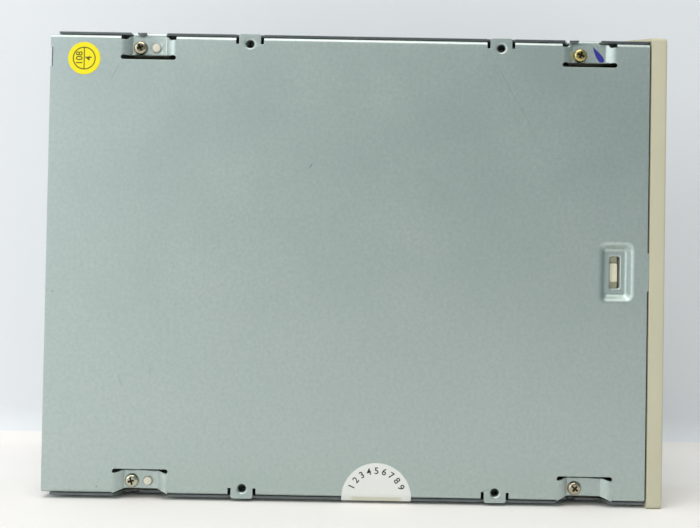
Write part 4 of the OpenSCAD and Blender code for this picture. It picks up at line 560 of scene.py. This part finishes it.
class DRIVE_OT_case(bpy.types.Operator):
    """Finishes the two steel covers, with softly pressed edges round the slider's window"""
    bl_idname = "drive.case"
    bl_label = "Steel covers"

    def execute(self, context):
        self.upper()
        self.lower()
        self.pins()
        self.flanges()
        self.tabs()
        return {"FINISHED"}

    def upper(self):
        """Upper cover: its right wall is cut away with slanted ends at the pads, and its sheared edges are bare
        steel, darkened further as painted shade.
        """
        # in mm: slant of the right notches at the wall's foot, rise of their top, shift of the front left notch
        slant, rise, shift = 3.0, 2.3, 2.0
        foot, top, bare = 1.2, 5.4, 8.0
        piece = merged_copy("top_cover")
        for vertex in piece.data.vertices:
            x, y, z = lying(vertex.co)
            middle = nearest_pad(x)
            if abs(x - middle) >= NOTCH_HALF or abs(y) <= WALL_Y:
                continue
            if y < 0:
                if middle == PAD_MIDDLES[1]:
                    vertex.co.x -= shift * MM
            elif z < foot:
                vertex.co.x += math.copysign(slant, x - middle) * MM
            elif z < top:
                vertex.co.y += rise * MM
        round_edges(piece, SHEET_EDGE)
        coat(piece, "Galvanised steel sheet", "Bare steel edge and painted shade")
        # faces that look down to the lower cover, below the bare height, take the darker grey: cut edges, with
        # painted shade
        for face in piece.data.polygons:
            face.material_index = int(face.normal.y < -0.5 and lying(face.center)[2] < bare)
        settle(piece, "top_cover")

    def lower(self):
        """Lower cover: a softly pressed dent, and pads that lean to the left side, with a flat seat per screw."""
        piece = merged_copy("bottom_cover")
        self.press_dent(piece)
        round_edges(piece, SHEET_EDGE)
        self.lean_pads(piece)
        self.seat_screws(piece)
        smooth(piece, 30)
        coat(piece, "Galvanised steel sheet")
        settle(piece, "bottom_cover")

    def press_dent(self, piece):
        """Makes the dent round the slider's window a little shallower, and rounds its bends."""
        # in mm: how far the floor comes up, its height, and half lengths that take in the floor and the rim
        lift, floor_z = 0.7, 2.7
        floor_x, floor_y, rim_x, rim_y = 4.5, 8.5, 5.4, 9.2
        for vertex in piece.data.vertices:
            x, y, z = lying(vertex.co)
            if z > floor_z and abs(x - DENT_X) < floor_x and abs(y - DENT_Y) < floor_y:
                vertex.co.y -= lift * MM
        # the rim and the floor: height and radius of the bend, in mm
        for depth, bend in ((0.0, 0.8), (2.1, 0.6)):
            def pressed(*ends):
                return all(abs(x - DENT_X) < rim_x and abs(y - DENT_Y) < rim_y and abs(z - depth) < 0.03
                           for x, y, z in map(lying, ends))

            with editing(piece):
                choose(piece, "EDGE", pressed)
                bpy.ops.mesh.bevel(offset=bend * MM, segments=6, affect="EDGES", clamp_overlap=False,
                                   loop_slide=False)

    def lean_pads(self, piece):
        """Leans the long edges of the pads to the left side, and gives their slopes a sharp foot."""
        # in mm from the middle line: the pads' strip, and where its edges start to move and where they move fully
        strip, inner_edge, outer_edge = (65.6, 70.9), (66.6, 66.0), (69.8, 70.5)
        # heights in mm that take in the pads, and the left pads without their slopes' heads
        under, left_from = 2.6, 1.4
        for vertex in piece.data.vertices:
            x, y, z = lying(vertex.co)
            far = abs(x - nearest_pad(x))
            if far >= PAD_HALF or z >= under or not strip[0] < abs(y) < strip[1]:
                continue
            down = min(1.0, (PAD_HALF - far) / (PAD_HALF - PAD_FLAT))
            inner = within(abs(y), *inner_edge)
            outer = within(abs(y), *outer_edge)
            if y > 0:
                vertex.co.z += (0.95 * down * inner + (1.35 * down - 1.3) * outer) * MM
            elif z > left_from:
                vertex.co.z += (0.35 * inner + 1.2 * outer) * down * MM
            sharper = (1 + math.cos(math.pi * down)) / 2 - math.cos(math.pi / 2 * down)
            vertex.co.y += PAD_DEPTH * sharper * MM

    def seat_screws(self, piece):
        """Fills the pads round the screws up to a flat, and cuts a round seat for each screw's head."""
        # in mm: a filler's length, thickness and lead over its screw, height of the flat, a seat's radius and depth
        long, thick, lead, flat, seat_r, seat_h = 5.45, 0.7, 0.375, 2.05, 2.25, 1.0
        fillers, seats = [], []
        for x in SCREW_X:
            for y in (-SCREW_Y, SCREW_Y):
                near, wide = (66.35, 71.7) if y < 0 else (65.1, 70.45)
                filler = primitive(bpy.ops.mesh.primitive_cube_add, (long * MM, (wide - near) * MM, thick * MM),
                                   size=1.0)
                with editing(filler):
                    choose(filler, "FACE", lambda middle, normal: normal.x < -0.9)
                    # the end by the slope climbs with it in two steps
                    for rise in (0.3317, 0.3189):
                        extrude(-0.4375 * MM, 0, rise * MM)
                place(filler, standing(x + lead, math.copysign((near + wide) / 2, y), flat), "bottom")
                fillers.append(filler)
                seat = primitive(bpy.ops.mesh.primitive_cylinder_add, vertices=48, radius=seat_r * MM,
                                 depth=seat_h * MM)
                place(seat, standing(x, y, flat - seat_h / 2), "bottom")
                seats.append(seat)
        for name, tools, operation in (("seat_fillers", fillers, "UNION"), ("screw_seats", seats, "DIFFERENCE")):
            cut(piece, join(name, tools), operation, "MANIFOLD")

    def pins(self):
        """Round ends of the frame's two locating pins in the rear pads."""
        pin = primitive(bpy.ops.mesh.primitive_cylinder_add, vertices=48, radius=1.34 * MM, depth=1.0 * MM,
                        location=(0, 0, -0.5 * MM))
        with editing(pin):
            choose(pin, "EDGE", lambda a, b: min(a.z, b.z) > -0.01 * MM)
            bpy.ops.mesh.bevel(offset=0.35 * MM, segments=5, affect="EDGES")
        shade(pin)
        rows = [(standing(-156.35, s * SCREW_Y, 1.12), "bottom", 0.0, "Ivory ABS") for s in (-1, 1)]
        piece = join("locating_pins", repeat(pin, rows))
        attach(piece, "housing")

    def flanges(self):
        """Bent outer edge of the two left screw pads."""
        edge = primitive(bpy.ops.mesh.primitive_cube_add, (2 * PAD_FLAT * MM, 1.3 * MM, 1.7 * MM), size=1.0)
        with editing(edge):
            choose(edge, "EDGE", lambda a, b: min(a.y, b.y, a.z, b.z) > 0)
            bpy.ops.mesh.bevel(offset=1.0 * MM, segments=8, affect="EDGES")
        shade(edge)
        rows = [(standing(x, -72.5, 2.57), "bottom", 0.0, "Galvanised steel sheet") for x in (-158.5, -21.4)]
        piece = join("pad_flanges", repeat(edge, rows))
        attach(piece, "housing")

    def tabs(self):
        """Half-round tabs of the left wall that lie on the pads' edge by the screws, coloured dark grey as painted
        shade.
        """
        tab = primitive(bpy.ops.mesh.primitive_cylinder_add, (1.0, 0.75, 1.0), vertices=40, radius=1.45 * MM,
                        depth=0.8 * MM)
        with editing(tab):
            bpy.ops.mesh.bisect(plane_co=(0, 0, 0), plane_no=(0, 1, 0), clear_outer=True, use_fill=True)
            choose(tab, "EDGE", lambda a, b: min(a.z, b.z) > 0)
            bpy.ops.mesh.bevel(offset=0.15 * MM, segments=2, affect="EDGES")
        shade(tab)
        rows = [(standing(x, -73.0, 1.4), "bottom", 0.0, "Bare steel edge and painted shade") for x in (-160.9, -24.1)]
        piece = join("wall_tabs", repeat(tab, rows))
        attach(piece, "housing")


def cross_cutter(arm, slot, depth, turn):
    """A tapered bar that cuts one arm pair of a cross recess; the taper follows the world's axes."""
    cutter = primitive(bpy.ops.mesh.primitive_cube_add, (2 * arm, slot, 2 * depth), size=1.0)
    cutter.rotation_euler = (0, 0, turn)
    with editing(cutter):
        choose(cutter, "FACE", lambda middle, normal: normal.z < -0.9)
        bpy.ops.transform.resize(value=(0.5, 0.75, 1.0))
    bpy.ops.object.transform_apply(location=True, rotation=True, scale=True)
    return cutter


def model_screw(head_r, head_h, shank_r, shank_l):
    """A pan-headed screw facing up, its head's top at the origin, all in metres."""
    screw = primitive(bpy.ops.mesh.primitive_cylinder_add, vertices=48, radius=head_r, depth=head_h,
                      location=(0, 0, -head_h / 2))
    tiny = head_h / 50
    with editing(screw):
        choose(screw, "EDGE", lambda a, b: a.z > -tiny and b.z > -tiny)
        bpy.ops.mesh.bevel(offset=0.72 * head_h, segments=8, affect="EDGES", profile=0.5)
        choose(screw, "FACE", lambda middle, normal: normal.z < -0.9)
        bpy.ops.mesh.inset(thickness=head_r - shank_r)
        extrude(0, 0, -0.85 * shank_l)
        extrude(0, 0, -0.15 * shank_l)
        bpy.ops.transform.resize(value=(0.5, 0.5, 1.0))
    for turn in (0.0, math.pi / 2):
        cut(screw, cross_cutter(0.64 * head_r, 0.36 * head_r, 0.6 * head_h, turn), "DIFFERENCE", "EXACT")
    shade(screw, 35)
    coat(screw, "Tin plate", "Recess tarnish and painted shade")
    # faces inside the cross recess take the dark brown: tarnish, and painted shade
    for face in screw.data.polygons:
        face.material_index = int(face.center.xy.length < 0.6 * head_r and -head_h < face.center.z < -0.05 * head_h)
    return screw


class DRIVE_OT_screws(bpy.types.Operator):
    """Models the cross-recessed screws of the covers, the clamp bridge and the boards"""
    bl_idname = "drive.screws"
    bl_label = "Screws"

    def execute(self, context):
        # the covers' screws: side, turn in degrees and plating, from the rear left one
        looks = ((-1, 25, "browned"), (-1, 70, "brassy"), (1, 15, "bright"), (1, 50, "browned"))
        screw = model_screw(context.scene.drive_sizes.head, 1.5 * MM, 1.25 * MM, 7 * MM)
        copies = repeat(screw, [(standing(SCREW_X[i % 2], side * SCREW_Y, 0.55), "bottom", math.radians(turn),
                                 "Nickel plate, " + look) for i, (side, turn, look) in enumerate(looks)])
        settle(join("cover_screws_finished", copies), "cover_screws")

        screw = model_screw(2.2 * MM, 1.3 * MM, 1.2 * MM, 4.2 * MM)
        posts = [(-104 - dx, s * 62) for dx in (8, 40) for s in (-1, 1)]
        posts += [(-20, y) for y in (-60.8, -40.5, 41.5, 60.8)]
        copies = repeat(screw, [(standing(x, y, 2.3), "bottom", math.radians(37 * i), "Tin plate")
                                for i, (x, y) in enumerate(posts)])
        settle(join("board_screws_finished", copies), "board_screws")

        screw = model_screw(1.7 * MM, 1.1 * MM, 0.9 * MM, 5 * MM)
        copies = repeat(screw, [(standing(-74 + dx, s * 69.3, 37.6), "top", math.radians(29 * s + dx), "Tin plate")
                                for dx in (-12, 12) for s in (-1, 1)])
        settle(join("bridge_screws_finished", copies), "bridge_screws")
        return {"FINISHED"}


class DRIVE_OT_threads(bpy.types.Operator):
    """Models the cut threads in the mounting holes of both covers"""
    bl_idname = "drive.threads"
    bl_label = "Hole threads"

    def execute(self, context):
        pitch = context.scene.drive_sizes.thread
        columns = (-126.65, -47.4)
        bottom = [(standing(x, s * 69.85, 0.45), "bottom", 0.0, "Cut thread") for x in columns for s in (-1, 1)]
        sides = [(standing(x, s * 72.55, z), "left" if s < 0 else "right", 0.0, "Cut thread")
                 for x in columns for z in (10, 21.84) for s in (-1, 1)]
        for name, cover, rows in (("lower_threads", "bottom_cover", bottom), ("side_threads", "top_cover", sides)):
            ridge = primitive(bpy.ops.mesh.primitive_circle_add, vertices=3, radius=0.2 * MM, fill_type="NGON",
                              location=(1.27 * MM, 0, 0), rotation=(math.radians(90), 0, 0))
            apply_modifier(ridge, "SCREW", axis="Z", angle=math.tau, screw_offset=-pitch, iterations=3, steps=28,
                           render_steps=28, use_merge_vertices=True, merge_threshold=0.001 * MM)
            with editing(ridge):
                bpy.ops.mesh.normals_make_consistent(inside=False)
            shade(ridge)
            piece = join(name, repeat(ridge, rows))
            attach(piece, "housing")
        return {"FINISHED"}


def raise_print(obj, thickness):
    """Gives a flat print its thickness, upwards from its own plane."""
    with editing(obj):
        extrude(0, 0, thickness)
        bpy.ops.mesh.select_all(action="SELECT")
        bpy.ops.mesh.normals_make_consistent(inside=False)


def flat_disc(radius, thickness):
    """A disc of paper that lies on the ground plane, its upper rim softened."""
    disc = primitive(bpy.ops.mesh.primitive_cylinder_add, vertices=96, radius=radius, depth=thickness,
                     location=(0, 0, thickness / 2))
    with editing(disc):
        choose(disc, "EDGE", lambda a, b: min(a.z, b.z) > 0.9 * thickness)
        bpy.ops.mesh.bevel(offset=0.4 * thickness, segments=2, affect="EDGES")
    return disc


def flat_ring(outer, inner, thickness, low):
    """A printed ring whose underside lies at a height."""
    ring = primitive(bpy.ops.mesh.primitive_circle_add, vertices=96, radius=outer, fill_type="NGON",
                     location=(0, 0, low))
    with editing(ring):
        bpy.ops.mesh.inset(thickness=outer - inner)
        choose(ring, "FACE", lambda middle, normal: middle.xy.length < 0.2 * inner)
        bpy.ops.mesh.delete(type="FACE")
    raise_print(ring, thickness)
    return ring


def flat_bar(length, width, thickness, low, at=(0.0, 0.0), spin=0.0):
    """A printed bar with rounded ends whose underside lies at a height."""
    bar = primitive(bpy.ops.mesh.primitive_plane_add, (length, width, 1), size=1.0, location=(at[0], at[1], low),
                    rotation=(0, 0, spin))
    with editing(bar):
        bpy.ops.mesh.bevel(offset=0.3 * width, segments=3, affect="VERTICES")
    raise_print(bar, thickness)
    return bar


def numeral(text, thickness, low, at, spin=0.0):
    """A printed number as a mesh, middle at a place on the ground plane."""
    bpy.ops.object.select_all(action="DESELECT")
    bpy.ops.object.text_add(location=(at[0], at[1], low), rotation=(0, 0, spin))
    number = bpy.context.object
    for name, value in {"body": text, "size": NUMERAL, "align_x": "CENTER", "align_y": "CENTER",
                        "extrude": thickness, "offset": 0.012 * NUMERAL}.items():
        setattr(number.data, name, value)
    bpy.ops.object.convert(target="MESH")
    number = bpy.context.object
    bpy.ops.object.transform_apply(location=True, rotation=True, scale=True)
    with editing(number):
        bpy.ops.mesh.remove_doubles(threshold=0.001 * MM)
    return number


def put_print(name, pieces, material, at, side, spin=0.0):
    """Joins printed pieces, sets them on one side of the drive and lets them ride on the housing."""
    piece = join(name, pieces)
    coat(piece, material)
    place(piece, at, side, spin)
    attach(piece, "housing")
    return piece


class DRIVE_OT_labels(bpy.types.Operator):
    """Makes the yellow dot, the folded paper seal and the stroke of blue marker ink"""
    bl_idname = "drive.labels"
    bl_label = "Labels and marks"

    def execute(self, context):
        sizes = context.scene.drive_sizes
        self.dot(sizes)
        self.seal(sizes)
        self.stroke(sizes)
        return {"FINISHED"}

    def dot(self, sizes):
        """Round dot with a ring, a divider and plain numbers that read up the drive's side."""
        at = standing(-178.75, -64.35, 0)
        turn = math.radians(90)
        apart = 1.45 * MM
        put_print("yellow_dot", [flat_disc(sizes.dot / 2, sizes.paper)], "Yellow paper", at, "bottom", turn)
        outer = sizes.ring / 2
        ink = [flat_ring(outer, outer - 0.34 * MM, sizes.ink, sizes.paper),
               flat_bar(2 * outer - 0.3 * MM, 0.32 * MM, sizes.ink, sizes.paper),
               numeral("108", sizes.ink, sizes.paper, (0, apart)), numeral("4", sizes.ink, sizes.paper, (0, -apart))]
        put_print("dot_print", ink, "Olive ink", at, "bottom", turn)

    def seal(self, sizes):
        """Paper disc folded over the lower side edge: half on the plate, half on the side wall."""
        radius = sizes.seal
        middle_x, middle_y = -84.5, 72.05
        # the way over the edge in the flat drive: mm to the right and mm up, from the plate to the side wall
        way = [(middle_y - radius / MM, -0.02), (70.6, -0.02), (71.2, 0.04), (71.9, 0.26), (72.55, 0.55),
               (72.95, 0.74), (73.06, 1.0), (73.06, 14.0)]
        steps = [math.dist(a, b) for a, b in zip(way, way[1:])]
        paper = primitive(bpy.ops.mesh.primitive_circle_add, vertices=128, radius=radius, fill_type="NGON")
        with editing(paper):
            gone = 0.0
            for step in steps[:-1]:
                gone += step * MM
                bpy.ops.mesh.select_all(action="SELECT")
                bpy.ops.mesh.bisect(plane_co=(0, radius - gone, 0), plane_no=(0, 1, 0))
        for vertex in paper.data.vertices:
            left = (radius - vertex.co.y) / MM
            i = 0
            while i < len(steps) - 1 and left > steps[i]:
                left -= steps[i]
                i += 1
            (y0, z0), (y1, z1) = way[i], way[i + 1]
            share = left / steps[i]
            vertex.co = standing(middle_x + vertex.co.x / MM, y0 + (y1 - y0) * share, z0 + (z1 - z0) * share)
        with editing(paper):
            bpy.ops.mesh.normals_make_consistent(inside=False)
        if sum(p.normal.y * p.area for p in paper.data.polygons) > 0:
            paper.data.flip_normals()
        apply_modifier(paper, "SOLIDIFY", thickness=sizes.paper, offset=1.0)
        paper.name = paper.data.name = "paper_seal"
        coat(paper, "White paper")
        smooth(paper, 50)
        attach(paper, "housing")
        # numbers 1 to 9 on an arc
        count, first, arc, arc_r = 9, 156, 132, 8.4 * MM
        numbers = []
        for i in range(count):
            a = math.radians(first - arc * i / (count - 1))
            numbers.append(numeral(str(i + 1), sizes.ink, sizes.paper + 0.02 * MM,
                                   (arc_r * math.cos(a), arc_r * math.sin(a)), a - math.pi / 2))
        put_print("seal_numbers", numbers, "Black ink", standing(middle_x, middle_y, 0), "bottom")

    def stroke(self, sizes):
        """A short drop-shaped stroke of marker ink on the front left screw pad."""
        long, wide = 2.9, 1.12
        drop = primitive(bpy.ops.mesh.primitive_circle_add, (long, wide, 1.0), vertices=40, radius=1.0 * MM,
                         fill_type="NGON")
        for vertex in drop.data.vertices:
            along = vertex.co.x / (long * MM)
            vertex.co.y = vertex.co.y * (0.72 + 0.5 * along) + 0.12 * MM * along * along
        raise_print(drop, sizes.ink)
        put_print("marker_stroke", [drop], "Blue marker ink", standing(-16.6, -68.6, 1.7), "bottom",
                  math.radians(-56))


class DRIVE_OT_front(bpy.types.Operator):
    """Finishes the moulded front with its door, button, wheel, jack and lamp, and its printed signs"""
    bl_idname = "drive.front"
    bl_label = "Front"

    def execute(self, context):
        finish_nodes((
            ("front_bezel", "Cream ABS", 0.25), ("tray_door", "Cream ABS", 0.3), ("eject_button", "Cream ABS", 0.3),
            ("volume_wheel", "Cream ABS", 0.12), ("headphone_jack", "Black polyester", 0.2),
            ("lamp", "Tinted epoxy", 0.0), ("lamp_holder", "Black polyester", 0.15),
            ("volume_control", "Black polyester", 0.15), ("eject_switch", "Black polyester", 0.15),
            ("switch_plunger", "Acetal", 0.2)))
        self.lip()
        self.signs(context.scene.drive_sizes.ink)
        return {"FINISHED"}

    def lip(self):
        """Thin tongue behind the front's upper corner that lies on the left side wall and runs out to the rear."""
        lip = primitive(bpy.ops.mesh.primitive_cube_add, (8.0 * MM, 1.0 * MM, 12.0 * MM), size=1.0)
        with editing(lip):
            choose(lip, "FACE", lambda middle, normal: normal.x < -0.9)
            bpy.ops.transform.resize(value=(1.0, 0.4, 0.8))
            bpy.ops.transform.translate(value=(0, -0.3 * MM, 0))
            bpy.ops.mesh.select_all(action="SELECT")
            bpy.ops.mesh.bevel(offset=0.1 * MM, segments=2, affect="EDGES")
        lip.name = lip.data.name = "front_lip"
        coat(lip, "Cream ABS")
        place(lip, standing(-3.9, -73.48, 6.8), "bottom")
        smooth(lip)
        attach(lip, "housing")

    def signs(self, ink):
        """Eject sign on the button, headphone sign by the jack and a wedge by the wheel."""
        arrow = primitive(bpy.ops.mesh.primitive_circle_add, vertices=3, radius=1.15 * MM, fill_type="NGON",
                          location=(0, 0.25 * MM, 0))
        raise_print(arrow, ink)
        bar = flat_bar(2.0 * MM, 0.45 * MM, ink, 0.0, at=(0, -0.85 * MM))
        sign = join("eject_sign", [arrow, bar])
        coat(sign, "Grey pad print")
        place(sign, standing(5.8, 54, 9.8), "front")
        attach(sign, "eject")

        band = primitive(bpy.ops.mesh.primitive_torus_add, (1.0, 1.0, 0.12), major_segments=40, minor_segments=6,
                         major_radius=1.25 * MM, minor_radius=0.16 * MM)
        with editing(band):
            bpy.ops.mesh.bisect(plane_co=(0, 0, 0), plane_no=(0, 1, 0), clear_inner=True, use_fill=True)
        pads = [flat_bar(1.0 * MM, 0.55 * MM, ink, 0.0, at=(s * 1.2 * MM, -0.35 * MM), spin=math.radians(90))
                for s in (-1, 1)]
        sign = put_print("headphone_sign", [band, *pads], "Grey pad print", standing(5.0, -57, 15.4), "front")

        wedge = primitive(bpy.ops.mesh.primitive_circle_add, (0.55, 5.0, 1.0), vertices=3, radius=1.0 * MM,
                          fill_type="NGON", rotation=(0, 0, math.pi / 2))
        raise_print(wedge, ink)
        sign = put_print("volume_sign", [wedge], "Grey pad print", standing(5.0, -43, 13.6), "front")


class DRIVE_OT_mechanism(bpy.types.Operator):
    """Finishes the inner frame, the tray, the loading gears, the spindle and the pickup"""
    bl_idname = "drive.mechanism"
    bl_label = "Mechanism"

    def execute(self, context):
        piece = merged_copy("main_frame")
        # the frame's faces by the left pads follow the lean of the pads: place, height, half length and way in mm
        face_y, face_top, face_half, lean = -65.6, 10.1, 5.2, 0.8
        for vertex in piece.data.vertices:
            x, y, z = lying(vertex.co)
            if abs(y - face_y) < 0.03 and z < face_top and abs(x - nearest_pad(x)) < face_half:
                vertex.co.z += lean * MM
        round_edges(piece, 0.2)
        coat(piece, "Ivory ABS")
        settle(piece, "main_frame")
        finish_nodes((
            # the slider's lighter cream is painted light
            ("disc_tray", "Charcoal ABS", 0.25), ("cam_slider", "Lightened ABS, painted light", 0.2),
            ("clamp_bridge", "Plated sheet steel", 0.15), ("clamper", "Ivory ABS", 0.25),
            ("clamper_plate", "Plated sheet steel", 0.15), ("loading_motor", "Drawn steel can", 0.4),
            ("motor_pulley", "Gilt pins", 0.1), ("drive_belt", "Moulded rubber", 0.15),
            ("drive_pulley", "Acetal", 0.1), ("tray_gear", "Acetal", 0.1),
            ("traverse_frame", "Plated sheet steel", 0.15), ("pivot_bushes", "Moulded rubber", 0.3),
            ("spindle_motor", "Drawn steel can", 0.2), ("spindle_rotor", "Plated sheet steel", 0.3),
            ("turntable", "Black polyester", 0.15), ("turntable_mat", "Moulded rubber", 0.1),
            ("hub_magnet", "Sintered magnet", 0.15),
            ("guide_rods", "Ground steel", 0.2), ("pickup_body", "Cast zinc", 0.3), ("pickup_rack", "Acetal", 0.08),
            ("pickup_yokes", "Plated sheet steel", 0.2), ("lens_holder", "Black polyester", 0.25),
            ("objective_lens", "Coated lens", 0.0), ("sled_motor", "Drawn steel can", 0.4),
            ("sled_pinion", "Gilt pins", 0.06), ("sled_gear", "Acetal", 0.06)))
        return {"FINISHED"}


class DRIVE_OT_boards(bpy.types.Operator):
    """Finishes the circuit boards, their parts and the rear connectors"""
    bl_idname = "drive.boards"
    bl_label = "Boards and connectors"

    def execute(self, context):
        finish_nodes((
            ("main_board", "Lacquered glass laminate", 0.1), ("audio_board", "Lacquered glass laminate", 0.1),
            ("button_board", "Lacquered glass laminate", 0.1), ("data_header", "Black polyester", 0.2),
            ("data_pins", "Gilt pins", 0.12), ("power_socket", "Natural nylon", 0.3),
            ("power_pins", "Tin plate", 0.3), ("jumper_block", "Black polyester", 0.15),
            ("jumper_pins", "Gilt pins", 0.12), ("jumper_cap", "Black polyester", 0.2),
            ("audio_sockets", "Black polyester", 0.15), ("audio_pins", "Gilt pins", 0.12),
            ("flex_connector", "Natural nylon", 0.25)))
        self.ribbon()
        self.chips()
        self.capacitors()
        return {"FINISHED"}

    def ribbon(self):
        """Film cable of the pickup, kept where it lies; no part of it rides on the traverse."""
        piece = merged_copy("pickup_flex")
        smooth(piece)
        coat(piece, "Polyimide film")
        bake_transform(piece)
        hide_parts("pickup_flex")

    def chips(self):
        """Chips of black epoxy with tinned leads."""
        piece = merged_copy("board_chips")
        round_edges(piece, 0.08)
        coat(piece, "Black epoxy", "Tin plate")
        # body of each chip, in mm: middle forward and to the right, and half width to the right
        bodies = ((-132, 40, 7.0), (-136, -22, 4.0), (-120, -42, 4.0))
        for face in piece.data.polygons:
            x, y, _ = lying(face.center)
            middle = min(bodies, key=lambda b: math.dist((x, y), b[:2]))
            face.material_index = int(abs(y - middle[1]) > middle[2] + 0.05)
        settle(piece, "board_chips")

    def capacitors(self):
        """Cans in a blue sleeve, with a bare crimped top."""
        piece = merged_copy("capacitors")
        rim, sunk = 0.5 * MM, 0.25 * MM
        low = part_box("capacitors")[1].y - 0.1 * MM
        with editing(piece):
            choose(piece, "FACE", lambda middle, normal: normal.y > 0.9 and middle.y > low)
            bpy.ops.mesh.inset(thickness=rim)
            extrude(0, -sunk, 0)
        round_edges(piece, 0.15)
        coat(piece, "Blue sleeve", "Tin plate")
        for face in piece.data.polygons:
            face.material_index = int(face.normal.y > 0.9 and face.center.y < low)
        settle(piece, "capacitors")


def soft_lamp(name, at, aim, size, power, tint):
    """A large square lamp that looks at a point."""
    bpy.ops.object.light_add(type="AREA", location=at)
    lamp = bpy.context.object
    lamp.name = name
    lamp.data.size = size
    lamp.data.energy = power
    lamp.data.color = linear(tint)[:3]
    lamp.rotation_euler = (Vector(aim) - Vector(at)).to_track_quat("-Z", "Y").to_euler()


def stage_surface(name, colour):
    """Matt studio paper: pale, with a faint unevenness; seen from behind it lets the eye through."""
    tree, shader, where = start_material(name, Roughness=0.8)
    cloud = add(tree, "ShaderNodeTexNoise", {"Vector": where}, {"Scale": per_mm(220), "Detail": 3.0})
    tint = add(tree, "ShaderNodeMix", {FACTOR: cloud.outputs["Fac"]},
               {FIRST: colour, SECOND: darker(colour, 0.97)}, data_type="RGBA")
    tree.links.new(tint.outputs[MIXED], shader.inputs["Base Color"])
    side = add(tree, "ShaderNodeNewGeometry")
    clear = add(tree, "ShaderNodeBsdfTransparent")
    both = add(tree, "ShaderNodeMixShader", {0: side.outputs["Backfacing"], 1: shader.outputs["BSDF"],
                                             2: clear.outputs["BSDF"]})
    tree.links.new(both.outputs["Shader"], tree.nodes["Material Output"].inputs["Surface"])


def back_edge(paper, wall_y):
    """In edit mode, selects the edge of the paper that lies on the ground at its back."""
    bpy.ops.mesh.select_mode(type="EDGE")
    bpy.ops.mesh.select_all(action="DESELECT")
    mesh = bmesh.from_edit_mesh(paper.data)
    for edge in mesh.edges:
        edge.select_set(all(v.co.y > wall_y - 0.001 and v.co.z < 0.001 for v in edge.verts))
    bmesh.update_edit_mesh(paper.data)


class DRIVE_OT_stage(bpy.types.Operator):
    """Sets the floor, the wall behind, the lamps and the camera"""
    bl_idname = "drive.stage"
    bl_label = "Stage"

    def execute(self, context):
        colours, stage = context.scene.drive_colours, context.scene.drive_stage
        stage_surface("Floor paper", colours.floor)
        stage_surface("Wall paper", colours.wall)
        self.papers()
        soft_lamp("key_lamp", (-0.95, -0.8, 0.5), (-0.05, 0, 0.07), 0.9, stage.key, "ffffff")
        soft_lamp("fill_lamp", (-0.1, -0.45, 1.1), (0, -0.1, 0.0), 0.9, stage.fill, "fff8f3")
        world = context.scene.world = bpy.data.worlds.new("Studio")
        world.use_nodes = True
        background = world.node_tree.nodes["Background"]
        background.inputs["Color"].default_value = linear("e0f4f6")
        background.inputs["Strength"].default_value = stage.sky
        self.camera(context.scene, stage)
        context.scene.view_settings.view_transform = "Standard"
        return {"FINISHED"}

    def papers(self):
        """One sweep of paper: a floor that bends up softly into a wall behind the drive, and floor behind that."""
        wall_y, bend, wide, deep = 0.086, 0.014, 6.0, 3.0
        paper = primitive(bpy.ops.mesh.primitive_plane_add, (wide, deep + wall_y, 1.0), size=1.0,
                          location=(0, (wall_y - deep) / 2, 0))
        with editing(paper):
            back_edge(paper, wall_y)
            extrude(0, 0, deep)
            back_edge(paper, wall_y)
            bpy.ops.mesh.bevel(offset=bend, segments=10, affect="EDGES")
        shade(paper)
        paper.name = paper.data.name = "backdrop"
        coat(paper, "Floor paper", "Wall paper")
        for face in paper.data.polygons:
            face.material_index = int(face.center.z > 0.3 * bend)
        paper = primitive(bpy.ops.mesh.primitive_plane_add, (wide, deep, 1.0), size=1.0,
                          location=(0, wall_y - bend + deep / 2, -0.3 * MM))
        paper.name = paper.data.name = "rear_floor"
        coat(paper, "Floor paper")

    def camera(self, scene, stage):
        """Camera square to the lower cover, a little below its middle, rolled as the picture is."""
        azimuth, elevation = math.radians(-0.039), math.radians(-0.885)
        aim = Vector((-0.0021, -0.02075, 0.0750))
        back = Vector((math.sin(azimuth) * math.cos(elevation), -math.cos(azimuth) * math.cos(elevation),
                       math.sin(elevation)))
        bpy.ops.object.camera_add(location=aim + back * stage.reach)
        camera = bpy.context.object
        camera.name = "camera"
        look = (-back).to_track_quat("-Z", "Y").to_matrix().to_4x4()
        camera.rotation_euler = (look @ Matrix.Rotation(stage.roll, 4, "Z")).to_euler()
        camera.data.sensor_fit = "HORIZONTAL"
        camera.data.sensor_width = 36.0
        camera.data.lens = stage.lens
        camera.data.clip_start = 0.01
        scene.camera = camera


class DRIVE_PT_panel(bpy.types.Panel):
    """Shows the drive's colours, sizes, stage settings and operators in the sidebar"""
    bl_label = "Disc Drive"
    bl_idname = "DRIVE_PT_panel"
    bl_space_type = "VIEW_3D"
    bl_region_type = "UI"
    bl_category = "Disc Drive"

    def draw(self, context):
        for group in (context.scene.drive_colours, context.scene.drive_sizes, context.scene.drive_stage):
            box = self.layout.box()
            for name in group.__annotations__:
                box.prop(group, name)
        for operator in OPERATORS:
            self.layout.operator(operator.bl_idname)


OPERATORS = (DRIVE_OT_finishes, DRIVE_OT_case, DRIVE_OT_screws, DRIVE_OT_threads, DRIVE_OT_labels, DRIVE_OT_front,
             DRIVE_OT_mechanism, DRIVE_OT_boards, DRIVE_OT_stage)
GROUPS = (("drive_colours", DriveColours), ("drive_sizes", DriveSizes), ("drive_stage", DriveStage))


def register():
    for name, group in GROUPS:
        bpy.utils.register_class(group)
        setattr(bpy.types.Scene, name, PointerProperty(type=group))
    for operator in (*OPERATORS, DRIVE_PT_panel):
        bpy.utils.register_class(operator)


def unregister():
    for operator in reversed((*OPERATORS, DRIVE_PT_panel)):
        bpy.utils.unregister_class(operator)
    for name, group in reversed(GROUPS):
        delattr(bpy.types.Scene, name)
        bpy.utils.unregister_class(group)


def main():
    register()
    bpy.ops.drive.finishes()
    bpy.ops.drive.case()
    bpy.ops.drive.screws()
    bpy.ops.drive.threads()
    bpy.ops.drive.labels()
    bpy.ops.drive.front()
    bpy.ops.drive.mechanism()
    bpy.ops.drive.boards()
    bpy.ops.drive.stage()


if __name__ == "__main__":
    main()
